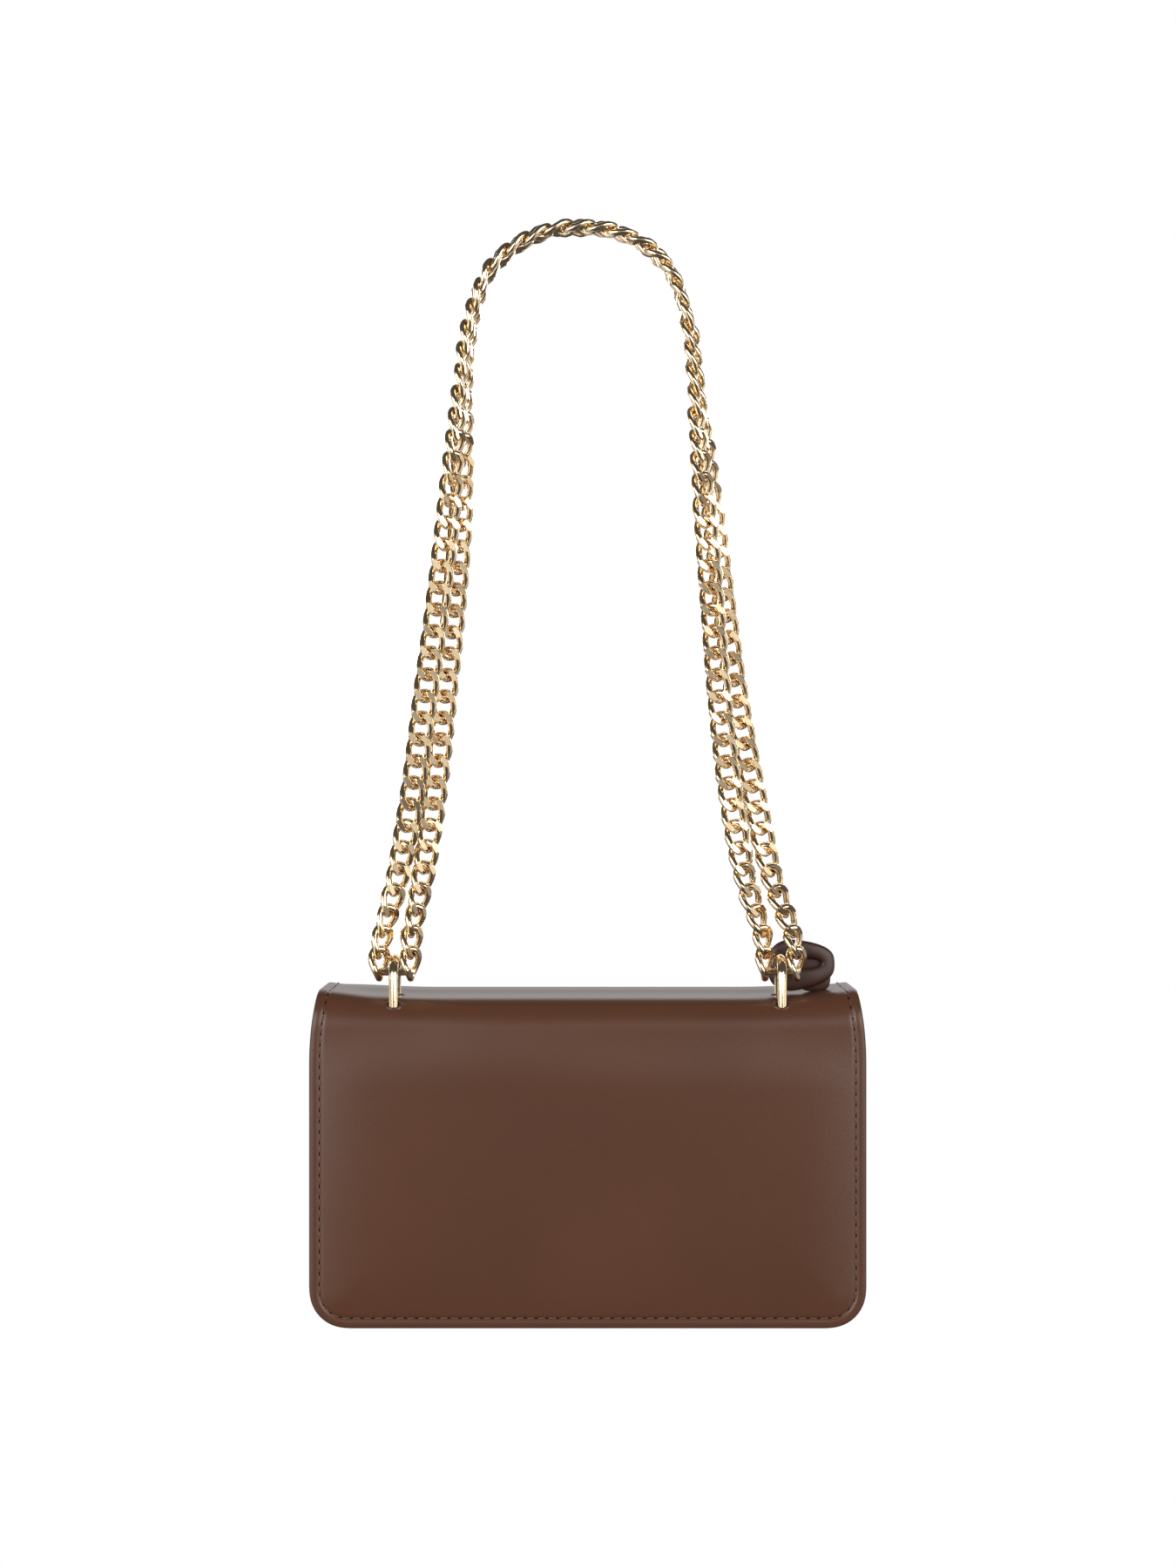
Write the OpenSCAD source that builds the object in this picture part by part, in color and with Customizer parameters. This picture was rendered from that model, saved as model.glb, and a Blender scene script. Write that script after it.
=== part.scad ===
// Flap crossbody bag on a doubled curb chain, seen from its back.
// The origin is at the inside of the strap's top, where it hangs over a shoulder or a hook.
// Its back faces -Y, its flap and front face +Y, and +Z is up.

/* [Bag] */
// Width of the back panel
bag_w = 210; // [190:1:230]
// Height from the bottom edge to the top leather
bag_h = 125; // [115:1:140]
// Depth from the back panel to the closed flap
bag_d = 56; // [52:1:66]
// Sideways offset of the bag from the top of the strap
bag_x = 3.5; // [-6:0.5:6]
// Radius of the panels' bottom corners
corner_r = 14; // [11:0.5:18]
// Outer radius of the leather where it turns over the top edges
bend_r = 8; // [7:0.5:9]
// How much narrower the panel is at the top, on each side
top_narrowing = 4; // [3:0.5:6]
// Height over which the sides draw in below the top
shoulder_h = 25; // [20:1:30]
// Width of the seam rim outside the gusset
seam_rim = 5.5; // [4.5:0.5:7]
// Thickness of the outer leather
leather_t = 1.6; // [1.4:0.1:1.8]
// Thickness of the gusset leather
gusset_t = 1.4; // [1.2:0.1:1.6]
// Thickness of the back stiffener
back_board_t = 1.2; // [1:0.1:1.4]
// Thickness of the front stiffener
front_board_t = 1.6; // [1.6:0.1:2]
// Thickness of the base board
base_board_t = 1.6; // [1.2:0.1:2]
// Thickness of the lining
lining_t = 0.8; // [0.6:0.1:1]
// How far the front panel's top edge lies below the top leather
front_lip = 6; // [5:0.5:9]

/* [Flap] */
// Distance from the back panel to the line where the flap folds
flap_fold_y = 26; // [26:0.5:30]
// How far the flap hangs down the front
flap_drop = 92; // [75:1:102]
// Thickness of the flap stiffener
flap_board_t = 1.6; // [1.6:0.1:2]
// Diameter of the hidden snap magnets
magnet_d = 14; // [10:0.5:16]
// Thickness of the hidden snap magnets
magnet_t = 1.4; // [1:0.1:1.5]
// Height of the magnets above the flap's lower edge
magnet_up = 18; // [14:1:24]

/* [Inner pocket] */
// Width of the slip pocket
pocket_w = 150; // [120:1:170]
// Height of the slip pocket
pocket_h = 62; // [50:1:75]
// Height of the slip pocket's foot above the bag's bottom edge
pocket_up = 28; // [20:1:34]
// Depth of the slip pocket
pocket_deep = 2.2; // [1.6:0.1:3]

/* [Rings] */
// Distance of each ring from the bag's side
ring_inset = 31.5; // [28:0.5:35]
// Distance of the rings from the back panel
ring_in = 12; // [12:0.5:13]
// Radius inside the ring's arch
ring_hole_r = 6.6; // [6.4:0.1:7]
// Thickness of the ring's bar, seen from its side
ring_bar = 2.8; // [2.4:0.1:3]
// Width of the ring's bar, seen from its edge
ring_band = 3.3; // [2.8:0.1:3.6]
// Height of the two bevels that meet in the ring's ridge
ring_bevel = 0.8; // [0.4:0.1:1.2]
// Height of the ring's centre above the top leather
ring_rise = 6.1; // [5.9:0.1:6.6]
// Diameter of the ring's straight bar inside the bag
ring_foot_d = 2.8; // [2.4:0.1:3]
// Width of the leather keeper below each ring
keeper_w = 11; // [9:0.5:12]
// Length of the leather keeper
keeper_l = 34; // [30:1:40]
// Diameter of the keeper rivets
rivet_d = 3; // [2.5:0.1:3.5]
// Thickness of the rivets' heads
rivet_head_t = 1; // [0.8:0.1:1.2]

/* [Strap chain] */
// Height of the strap's top above the rings' centres
strap_drop = 282; // [265:1:300]
// Length of a link
link_l = 13.4; // [13.3:0.1:13.6]
// Width of a link
link_w = 9.8; // [9.6:0.1:9.9]
// Thickness between the two ground faces of the chain
link_flat = 5.4; // [5:0.1:5.8]
// Thickness of the link wire
wire_t = 1.8; // [1.5:0.1:1.8]
// Distance from link to link
link_pitch = 8.25; // [8.2:0.01:8.3]
// Distance between the two strands over the shoulder
strand_gap = 10.4; // [10.2:0.1:11.4]
// Length of the plain link in each ring
ring_link_l = 14.5; // [14.3:0.1:14.8]
// Half the distance between the strands where they meet the ring's link
ring_link_half = 6; // [5.9:0.1:6.1]
// Height of the ring's link above the middle of the ring's arch
ring_link_lift = 2.6; // [2.2:0.1:2.9]

/* [Tag] */
// Width of the leather tag behind the right ring
tag_w = 26; // [22:1:28]
// Height of the tag above the top leather
tag_h = 20; // [16:1:22]
// Thickness of the tag
tag_t = 1.8; // [1.5:0.1:1.8]
// Radius of the tag's corners
tag_r = 5; // [3:0.5:6]
// Length of the slit in the tag
tag_slit_l = 18; // [14:1:19]
// Height of the slit in the tag
tag_slit_h = 3; // [2:0.1:4]

/* [Hidden] */

// Clearances, the step from one layer's edge to the next, and the overrun of a cut
fit = 0.1;
gap = 0.3;
edge_step = 1;
cut = 1;

// Colours
leather_colour = "#5e4036";
edge_colour = "#7a5848";
lining_colour = "#8a7160";
board_colour = "#b8a68c";
metal_colour = "#e3c79c";
steel_colour = "#b9bcc0";

// The bag's own frame: across from its middle, back from its back panel, up from its bottom edge
base_z = -strap_drop - ring_rise - bag_h;
module in_bag() translate([bag_x, -ring_in, base_z]) children();

// Places of the layers, from back to front
back_board_y = leather_t;
lining_y = leather_t + back_board_t;
flap_t = leather_t + flap_board_t + lining_t;
front_y = bag_d - flap_t - gap - leather_t;
front_board_y = front_y - front_board_t;
flap_board_y = bag_d - leather_t - flap_board_t;
flap_lining_y = flap_board_y - lining_t;
front_top = bag_h - front_lip;
lining_top = front_top - edge_step;
flap_low = bag_h - flap_drop;
inner_rim = seam_rim + gusset_t;
lining_rim = inner_rim + base_board_t + 2*fit;
ring_x = bag_w/2 - ring_inset;
top_w = bag_w - 2*top_narrowing;
shoulder_z = bag_h - shoulder_h;
shoulder_r = (pow(shoulder_h, 2) + pow(top_narrowing, 2))/(2*top_narrowing);

// Outline of a panel in the bag's own frame, from its low edge up to a given height
module outline(inset = 0, top = bag_h, low = 0) {
    r = corner_r - inset;
    half = bag_w/2 - inset;
    foot = low + inset;
    big_r = shoulder_r - inset;
    for (side = [-1, 1]) {
        translate([side*(half - r), foot + r]) circle(r, $fn = 48);
        intersection() {
            translate([side*(half - big_r), shoulder_z]) circle(big_r, $fn = 96);
            translate([-half, shoulder_z]) square([2*half, top - shoulder_z]);
        }
    }
    translate([-half, foot + r]) square([2*half, shoulder_z - foot - r]);
    translate([r - half, foot]) square([2*(half - r), r]);
    translate([big_r - half, shoulder_z]) square([2*(half - big_r), top - shoulder_z]);
}

// A flat layer of the bag with its back face at a given depth
module layer(depth, thick) translate([0, depth + thick, 0]) rotate([90, 0, 0]) linear_extrude(thick) children();

// A profile drawn as depth and height, run across the bag
module across(width) rotate([90, 0, 90]) linear_extrude(width, center = true) children();

// A quarter of a bend between two radii, filling the quadrant on a given side
module quarter_bend(outer, inner, side) intersection() {
    difference() {
        circle(outer, $fn = 64);
        circle(inner, $fn = 64);
    }
    translate([side > 0 ? 0 : -outer, 0]) square(outer);
}

module back_panel() color(leather_colour) in_bag() difference() {
    intersection() {
        across(bag_w) {
            square([leather_t, bag_h - bend_r]);
            translate([bend_r, bag_h - bend_r]) quarter_bend(bend_r, bend_r - leather_t, -1);
            translate([bend_r, bag_h - leather_t]) square([flap_fold_y - bend_r, leather_t]);
        }
        layer(0, bag_d) outline();
    }
    ring_slits(bag_h - bend_r, bend_r);
}

module back_board() color(board_colour) in_bag()
    layer(back_board_y, back_board_t) outline(inner_rim + gap, bag_h - bend_r - gap);

module top_board() color(board_colour) in_bag() difference() {
    translate([-top_w/2 + inner_rim, bend_r, bag_h - leather_t - back_board_t])
        cube([top_w - 2*inner_rim, flap_fold_y - bend_r - gap, back_board_t]);
    ring_slits(bag_h - leather_t - back_board_t, back_board_t);
    rivet_places() cylinder(d = rivet_d + 2*fit, h = back_board_t + 2*cut, center = true, $fn = 32);
}

module front_panel() color(leather_colour) in_bag() layer(front_y, leather_t) outline(0, front_top);

module front_board() color(board_colour) in_bag() difference() {
    layer(front_board_y, front_board_t) outline(inner_rim + gap, front_top - edge_step);
    translate([0, front_y, flap_low + magnet_up]) rotate([90, 0, 0])
        cylinder(d = magnet_d + 2*gap, h = front_board_t + cut, $fn = 64);
}

// The side and base strip, with a flange turned out along each seam
module gusset() color(leather_colour) in_bag() {
    layer(leather_t, front_y - leather_t) gusset_ring(seam_rim, bag_h - bend_r - gap);
    layer(leather_t, back_board_t) gusset_ring(0, bag_h - bend_r - gap);
    layer(front_board_y, front_board_t) gusset_ring(0, front_top);
}
module gusset_ring(outer_rim, top) difference() {
    outline(outer_rim, top);
    outline(inner_rim, top + cut);
}

module base_board() color(board_colour) in_bag()
    translate([corner_r - bag_w/2, lining_y, inner_rim + fit])
        cube([bag_w - 2*corner_r, front_board_y - lining_y, base_board_t]);

module lining() color(lining_colour) in_bag() difference() {
    layer(lining_y, front_board_y - lining_y) outline(lining_rim, lining_top);
    layer(lining_y + lining_t, front_board_y - lining_y - 2*lining_t)
        outline(lining_rim + lining_t, lining_top + cut);
}

module slip_pocket() color(leather_colour) in_bag() difference() {
    translate([-pocket_w/2, lining_y + lining_t, pocket_up]) cube([pocket_w, pocket_deep, pocket_h]);
    translate([lining_t - pocket_w/2, lining_y + lining_t - cut, pocket_up + lining_t])
        cube([pocket_w - 2*lining_t, pocket_deep - lining_t + cut, pocket_h]);
}

module front_magnet() color(steel_colour) in_bag()
    translate([0, front_y, flap_low + magnet_up]) rotate([90, 0, 0]) cylinder(d = magnet_d, h = magnet_t, $fn = 64);

// Flap: the part over the top, and the part that hangs down the front
module flap_shell(outer, inner) intersection() {
    across(bag_w) {
        translate([flap_fold_y + gap, bag_h - outer]) square([bag_d - bend_r - flap_fold_y - gap, outer - inner]);
        translate([bag_d - bend_r, bag_h - bend_r]) quarter_bend(bend_r - inner, bend_r - outer, 1);
    }
    layer(0, bag_d) outline();
}
module flap_top_leather() color(leather_colour) in_bag() flap_shell(leather_t, 0);
module flap_top_lining() color(lining_colour) in_bag() flap_shell(leather_t + lining_t, leather_t);

flap_joint_z = bag_h - bend_r;
module flap_front_leather() color(leather_colour) in_bag()
    layer(bag_d - leather_t, leather_t) outline(0, flap_joint_z - gap, flap_low);
module flap_front_board() color(board_colour) in_bag() difference() {
    layer(flap_board_y, flap_board_t) outline(seam_rim, flap_joint_z - gap, flap_low);
    translate([0, bag_d - leather_t, flap_low + magnet_up]) rotate([90, 0, 0])
        cylinder(d = magnet_d + 2*gap, h = flap_board_t + cut, $fn = 64);
}
module flap_front_lining() color(lining_colour) in_bag()
    layer(flap_lining_y, lining_t) outline(0, flap_joint_z - gap, flap_low);
module flap_magnet() color(steel_colour) in_bag()
    translate([0, flap_board_y + magnet_t, flap_low + magnet_up]) rotate([90, 0, 0])
        cylinder(d = magnet_d, h = magnet_t, $fn = 64);

// Rings: an arch, two legs through the leather and a straight foot inside
ring_out_r = ring_hole_r + ring_bar;
ring_foot_z = bag_h - leather_t - back_board_t - fit - ring_foot_d/2;
ring_top_z = bag_h + ring_rise;
ring_leg = ring_top_z - ring_foot_z;
module ring_section() polygon([
    [ring_hole_r, -ring_band/2], [ring_out_r - ring_bevel, -ring_band/2], [ring_out_r, 0],
    [ring_out_r - ring_bevel, ring_band/2], [ring_hole_r, ring_band/2]
]);
module ring(side) color(metal_colour) in_bag() translate([side*ring_x, ring_in, ring_top_z]) {
    rotate([90, 0, 90]) rotate_extrude(angle = 180, $fn = 96) ring_section();
    for (turn = [0, 180]) rotate([0, 0, turn]) translate([0, 0, -ring_leg])
        linear_extrude(ring_leg) rotate(90) ring_section();
    translate([0, 0, -ring_leg]) rotate([90, 0, 0])
        cylinder(d = ring_foot_d, h = 2*(ring_hole_r + ring_bar/2), center = true, $fn = 48);
}
module ring_left() ring(-1);
module ring_right() ring(1);

// Slits for the ring's legs through a layer of the top
module ring_slits(low, thick) for (side = [-1, 1], leg = [-1, 1])
    translate([
        side*ring_x - ring_band/2 - gap, ring_in + leg*(ring_hole_r + ring_bar/2) - ring_bar/2 - gap, low - cut
    ]) cube([ring_band + 2*gap, ring_bar + 2*gap, thick + 2*cut]);

keeper_top = bag_h - leather_t - back_board_t;
keeper_hump_r = ring_foot_d/2 + fit;
keeper_hump_z = keeper_top - fit - ring_foot_d/2;
rivet_out = (keeper_l/2 + keeper_hump_r + gusset_t)/2;
module rivet_places(sides = [-1, 1]) for (side = sides, end = [-1, 1])
    translate([side*ring_x + end*rivet_out, ring_in, keeper_top]) children();

// The keeper passes under the ring's foot and is riveted up to the top board on both sides
module ring_keeper(side) color(leather_colour) in_bag() difference() {
    translate([side*ring_x, ring_in + keeper_w/2, 0]) rotate([90, 0, 0]) linear_extrude(keeper_w) difference() {
        union() {
            translate([-keeper_l/2, keeper_top - gusset_t]) square([keeper_l, gusset_t]);
            translate([0, keeper_hump_z]) intersection() {
                circle(keeper_hump_r + gusset_t, $fn = 48);
                translate([-keeper_l/2, -keeper_l]) square([keeper_l, keeper_l + keeper_top - keeper_hump_z]);
            }
        }
        translate([0, keeper_hump_z]) circle(keeper_hump_r, $fn = 48);
        translate([-keeper_hump_r, keeper_hump_z]) square([2*keeper_hump_r, ring_foot_d]);
    }
    rivet_places([side]) cylinder(d = rivet_d + 2*fit, h = 2*gusset_t + 2*cut, center = true, $fn = 32);
}
module ring_keeper_left() ring_keeper(-1);
module ring_keeper_right() ring_keeper(1);

module keeper_rivets() color(steel_colour) in_bag() rivet_places() {
    translate([0, 0, -gusset_t]) cylinder(d = rivet_d, h = gusset_t + back_board_t - fit, $fn = 32);
    translate([0, 0, -gusset_t - rivet_head_t]) cylinder(d = 2*rivet_d, h = rivet_head_t, $fn = 32);
}

// Leather tag standing behind the right ring, its foot on the top leather
tag_y = ring_in + ring_out_r + gap;
tag_x = ring_x - ring_band/2 - tag_r/2;
module tag() color(edge_colour) in_bag() layer(tag_y, tag_t) translate([tag_x, bag_h]) difference() {
    union() {
        translate([tag_r, 0]) square([tag_w - 2*tag_r, tag_h]);
        translate([0, 0]) square([tag_w, tag_h - tag_r]);
        for (end = [tag_r, tag_w - tag_r]) translate([end, tag_h - tag_r]) circle(tag_r, $fn = 48);
    }
    translate([(tag_w - tag_slit_l)/2, tag_h - tag_r - tag_slit_h]) tag_slit();
}
// A slit pulled open into a lens between two arcs
slit_r = (pow(tag_slit_l, 2) + pow(tag_slit_h, 2))/(4*tag_slit_h);
module tag_slit() intersection() {
    translate([tag_slit_l/2, slit_r]) circle(slit_r, $fn = 96);
    translate([tag_slit_l/2, tag_slit_h - slit_r]) circle(slit_r, $fn = 96);
}

// Strap chain. A point's first share is of the way from the middle to a ring, its second of half
// the gap between the strands, and its third of the strap's drop. The strap's top is at the
// origin, and its lower ends follow the bag's sideways offset.
front_strand_shares = [
    [-1.065, 0.12, 0.935], [-1.026, 0.3, 0.903], [-0.972, 0.5, 0.852], [-0.888, 0.6, 0.735],
    [-0.825, 0.62, 0.617], [-0.758, 0.7, 0.5], [-0.7, 0.85, 0.382], [-0.654, 0.95, 0.265],
    [-0.606, 1, 0.147], [-0.532, 1, 0.076], [-0.471, 1, 0.047], [-0.402, 1, 0.027],
    [-0.288, 1, 0.007], [-0.153, 1, -0.007], [0, 1, -0.011], [0.158, 1, -0.008], [0.288, 1, 0.005],
    [0.404, 1, 0.027], [0.481, 1, 0.055], [0.531, 1, 0.095], [0.557, 1, 0.147], [0.599, 0.95, 0.265],
    [0.636, 0.85, 0.382], [0.67, 0.7, 0.5], [0.703, 0.62, 0.617], [0.75, 0.6, 0.735],
    [0.819, 0.5, 0.852], [0.872, 0.3, 0.903], [0.91, 0.12, 0.935]
];
back_strand_shares = [
    [-0.903, 0.12, 0.935], [-0.875, 0.3, 0.903], [-0.837, 0.5, 0.852], [-0.77, 0.6, 0.735],
    [-0.72, 0.62, 0.617], [-0.672, 0.7, 0.5], [-0.635, 0.85, 0.382], [-0.618, 0.95, 0.265],
    [-0.59, 1, 0.147], [-0.532, 1, 0.076], [-0.471, 1, 0.047], [-0.402, 1, 0.027],
    [-0.288, 1, 0.007], [-0.153, 1, -0.007], [0, 1, -0.011], [0.158, 1, -0.008], [0.288, 1, 0.005],
    [0.404, 1, 0.027], [0.481, 1, 0.055], [0.536, 1, 0.095], [0.587, 1, 0.147], [0.636, 0.95, 0.265],
    [0.682, 0.85, 0.382], [0.733, 0.7, 0.5], [0.79, 0.62, 0.617], [0.866, 0.6, 0.735],
    [0.95, 0.5, 0.852], [1.01, 0.3, 0.903], [1.052, 0.12, 0.935]
];
// Turn of the chain about its own length, against the share of the strand's length
turn_shares = [
    [0, -40], [0.02, -40], [0.08, 0], [0.25, 0], [0.37, -90], [0.63, -90], [0.75, -180], [0.92, -180],
    [0.98, -140], [1, -140]
];
// Twist of a link from one end to the other
link_twist = 57;
// Steps round a link, and steps between two points of the route
link_steps = 12;
curve_steps = 12;
ring_link_roll = 90;
ring_link_z = -strap_drop + ring_link_lift;
// Height of a strand's first link above the ring's link
first_link_up = 3;

function route_point(s, side) = [
    s[0]*ring_x + s[0]*s[0]*bag_x, side*s[1]*strand_gap/2, -s[2]*strap_drop
];
function ring_joint(ring, way, link = 0) = [
    bag_x + ring*ring_x + way*ring_link_half, 0, ring_link_z + first_link_up + (link - 0.5)*link_pitch
];
function catmull(a, b, c, d, t) =
    0.5*(2*b + (c - a)*t + (2*a - 5*b + 4*c - d)*t*t + (3*b - a - 3*c + d)*t*t*t);
function curve(r) = [
    for (i = [0:len(r) - 2], k = [0:curve_steps - 1])
        catmull(r[max(i - 1, 0)], r[i], r[i + 1], r[min(i + 2, len(r) - 1)], k/curve_steps),
    r[len(r) - 1]
];
function run(p) = [for (i = 0, s = 0; i < len(p); s = s + norm(p[min(i + 1, len(p) - 1)] - p[i]), i = i + 1) s];
function column(s, p, k) = [for (i = [0:len(p) - 1]) [s[i], p[i][k]]];
function unit(v) = v/norm(v);

// Joints between the links of a strand, evenly spaced along its curve
function joints(p) = let (
    s = run(p), total = s[len(s) - 1], links = round(total/link_pitch),
    tables = [for (k = [0:2]) column(s, p, k)]
) [for (i = [0:links]) [for (k = [0:2]) lookup(i*total/links, tables[k])]];

// A link's frame: its middle, its length, width and flat directions
function link_frame(a, b, turn) = let (
    u = unit(b - a), n0 = unit([0, 1, 0] - u[1]*u), v0 = cross(n0, u),
    n = n0*cos(turn) + v0*sin(turn)
) [(a + b)/2, u, cross(n, u), n];

function clamp(v, most) = max(-most, min(most, v));

// Corners of the wire round one link, ring by ring, ground flat on both faces
function link_points(frame, length, twist) = [
    for (i = [0:link_steps - 1]) let (
        a = (length - wire_t)/2, w = (link_w - wire_t)/2, t = i*360/link_steps,
        x = a*cos(t), r = w*sin(t), phi = twist*cos(t),
        out = unit([w*cos(t), a*sin(t)]),
        across_wire = [out[0], out[1]*cos(phi), out[1]*sin(phi)], up_wire = [0, -sin(phi), cos(phi)],
        middle = [x, r*cos(phi), r*sin(phi)]
    ) for (corner = [[1, 1], [-1, 1], [-1, -1], [1, -1]]) let (
        p = middle + across_wire*corner[0]*wire_t/2 + up_wire*corner[1]*wire_t/2,
        q = [p[0], p[1], clamp(p[2], link_flat/2)]
    ) frame[0] + frame[1]*q[0] + frame[2]*q[1] + frame[3]*q[2]
];
function link_faces(first) = [
    for (i = [0:link_steps - 1], k = [0:3]) let (
        a = first + 4*i + k, b = first + 4*i + (k + 1)%4,
        c = first + 4*((i + 1)%link_steps) + k, d = first + 4*((i + 1)%link_steps) + (k + 1)%4
    ) each [[a, b, d], [a, d, c]]
];
module links(frames, length, twist) polyhedron(
    points = [for (f = frames) each link_points(f, length, twist)],
    faces = [for (i = [0:len(frames) - 1]) each link_faces(i*4*link_steps)]
);
module strand(route) {
    j = joints(curve(route));
    count = len(j) - 1;
    frames = [for (i = [0:count - 1]) link_frame(j[i], j[i + 1], lookup((i + 0.5)/count, turn_shares))];
    color(metal_colour) links(frames, link_l, link_twist);
}
module chain_front_strand() strand([
    ring_joint(-1, -1), ring_joint(-1, -1, 1), each [for (s = front_strand_shares) route_point(s, -1)],
    ring_joint(1, -1, 1), ring_joint(1, -1)
]);
module chain_back_strand() strand([
    ring_joint(-1, 1), ring_joint(-1, 1, 1), each [for (s = back_strand_shares) route_point(s, 1)],
    ring_joint(1, 1, 1), ring_joint(1, 1)
]);
module chain_ring_links() color(metal_colour) links([
    for (x = [-ring_x, ring_x]) link_frame(
        [bag_x + x - ring_link_half, 0, ring_link_z], [bag_x + x + ring_link_half, 0, ring_link_z], ring_link_roll
    )
], ring_link_l, 0);

chain_front_strand();
chain_back_strand();
chain_ring_links();
ring_left();
ring_right();
ring_keeper_left();
ring_keeper_right();
keeper_rivets();
back_panel();
back_board();
top_board();
front_panel();
front_board();
gusset();
base_board();
lining();
slip_pocket();
front_magnet();
flap_top_leather();
flap_top_lining();
flap_front_leather();
flap_front_board();
flap_front_lining();
flap_magnet();
tag();
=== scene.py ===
import math

import bmesh
import bpy
from bmesh.types import BMEdge, BMFace, BMVert
from bpy.props import FloatProperty, FloatVectorProperty, IntProperty, PointerProperty
from bpy.types import Operator, Panel, PropertyGroup
from mathutils import Matrix, Vector


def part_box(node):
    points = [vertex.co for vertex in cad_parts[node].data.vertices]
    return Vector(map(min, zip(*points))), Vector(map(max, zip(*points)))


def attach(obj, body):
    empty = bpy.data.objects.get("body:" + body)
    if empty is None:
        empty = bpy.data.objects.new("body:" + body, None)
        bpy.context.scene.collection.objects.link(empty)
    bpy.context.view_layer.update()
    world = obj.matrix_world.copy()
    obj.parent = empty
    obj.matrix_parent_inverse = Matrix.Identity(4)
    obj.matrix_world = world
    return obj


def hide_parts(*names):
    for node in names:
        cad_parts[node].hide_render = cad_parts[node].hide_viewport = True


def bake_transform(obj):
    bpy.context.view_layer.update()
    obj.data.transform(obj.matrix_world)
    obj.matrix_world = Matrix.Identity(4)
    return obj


bl_info = {
    "name": "Crossbody Bag",
    "version": (1, 0, 0),
    "blender": (4, 5, 0),
    "location": "3D View > Sidebar > Crossbody Bag",
    "description": "Dresses a leather flap bag with its sewn panels, stitches, chain strap, rings and tag",
    "category": "Object",
}

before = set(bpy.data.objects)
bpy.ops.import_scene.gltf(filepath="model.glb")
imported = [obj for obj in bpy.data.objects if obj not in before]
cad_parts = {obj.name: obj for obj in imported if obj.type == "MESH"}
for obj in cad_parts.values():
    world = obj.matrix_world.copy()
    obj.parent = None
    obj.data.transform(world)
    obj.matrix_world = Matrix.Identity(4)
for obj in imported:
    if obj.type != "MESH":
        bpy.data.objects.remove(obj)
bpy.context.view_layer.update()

# Sizes read from the frame, in metres
BACK_LOW, BACK_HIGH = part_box("back_panel")
TOP_BOARD_LOW, TOP_BOARD_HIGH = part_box("top_board")
FRONT_LOW, FRONT_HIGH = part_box("front_panel")
FLAP_LOW, FLAP_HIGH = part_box("flap_front_leather")
FLAP_LINING_LOW, FLAP_LINING_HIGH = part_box("flap_front_lining")
LINING_LOW, LINING_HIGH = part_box("lining")
POCKET_LOW, POCKET_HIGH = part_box("slip_pocket")
RING_LOW, RING_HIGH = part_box("ring_right")
KEEPER_LOW, KEEPER_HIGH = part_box("ring_keeper_right")
TAG_LOW, TAG_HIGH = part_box("tag")
ORIGIN = Vector(((BACK_LOW.x + BACK_HIGH.x) / 2, BACK_LOW.y, BACK_LOW.z))
HALF_W = (BACK_HIGH.x - BACK_LOW.x) / 2
BAG_H = BACK_HIGH.z - BACK_LOW.z
BAG_D = FLAP_HIGH.y - BACK_LOW.y
FRONT_Y = FRONT_HIGH.y - ORIGIN.y
FRONT_TOP = FRONT_HIGH.z - ORIGIN.z
LEATHER_T = FRONT_HIGH.y - FRONT_LOW.y
LINING_T = FLAP_LINING_HIGH.y - FLAP_LINING_LOW.y
FLAP_IN = FLAP_HIGH.y - FLAP_LINING_LOW.y
RING_X = (RING_LOW.x + RING_HIGH.x) / 2 - ORIGIN.x
RING_Y = (RING_LOW.y + RING_HIGH.y) / 2 - ORIGIN.y

# Sizes that the boxes don't tell, in metres
CORNER_R = 0.014
BEND_R = 0.008
BACK_BEND_R = 0.012
TOP_NARROWING = 0.0026
SHOULDER_H = 0.025
FLAP_FOLD_Y = 0.026
SPLIT_Y = 0.040
SEAM_RIM = 0.0055
GUSSET_T = 0.0012
RING_HOLE_R = 0.0066
RING_BAR = 0.0028
RING_RISE = 0.0061
RING_LEG = 0.0104
FOOT_R = 0.0014
STRAP_DROP = 0.282
STRAND_GAP = 0.0104
RING_LINK_LENGTH = 0.0145
RING_LINK_HALF = 0.006
RING_LINK_LIFT = 0.0026
FIRST_LINK_UP = 0.003
TINY = 0.00001

# Lengths along the hide, which runs up the back, over the top and down the flap
SHOULDER_R = (SHOULDER_H**2 + TOP_NARROWING**2) / (2 * TOP_NARROWING)
BEND_Z = BAG_H - BEND_R
BACK_BEND_Z = BAG_H - BACK_BEND_R
TOP_START = BACK_BEND_Z + BACK_BEND_R * math.pi / 2
TOP_END = TOP_START + BAG_D - BACK_BEND_R - BEND_R
FRONT_START = TOP_END + BEND_R * math.pi / 2
HIDE_END = FRONT_START + BEND_Z - (FLAP_LOW.z - ORIGIN.z)
SPLIT_S = TOP_START + SPLIT_Y - BACK_BEND_R

# Steps in from the cut edge of a sewn panel, with a groove under the stitches
RIM_STEPS = [0.0078, 0.0066, 0.0056, 0.0049, 0.0045, 0.0042, 0.0039, 0.0036, 0.0033, 0.0026, 0.0017, 0.001]
INNER_RIM = 0.009
# The cut edge itself, as distance in and depth below the face
CUT_EDGE = [
    (0.0006, 0.00004), (0.0003, 0.00014), (0.0001, 0.0003), (0.0, 0.0005), (0.0, 0.0011), (0.0002, 0.0014),
    (0.0006, 0.0016),
]

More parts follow.
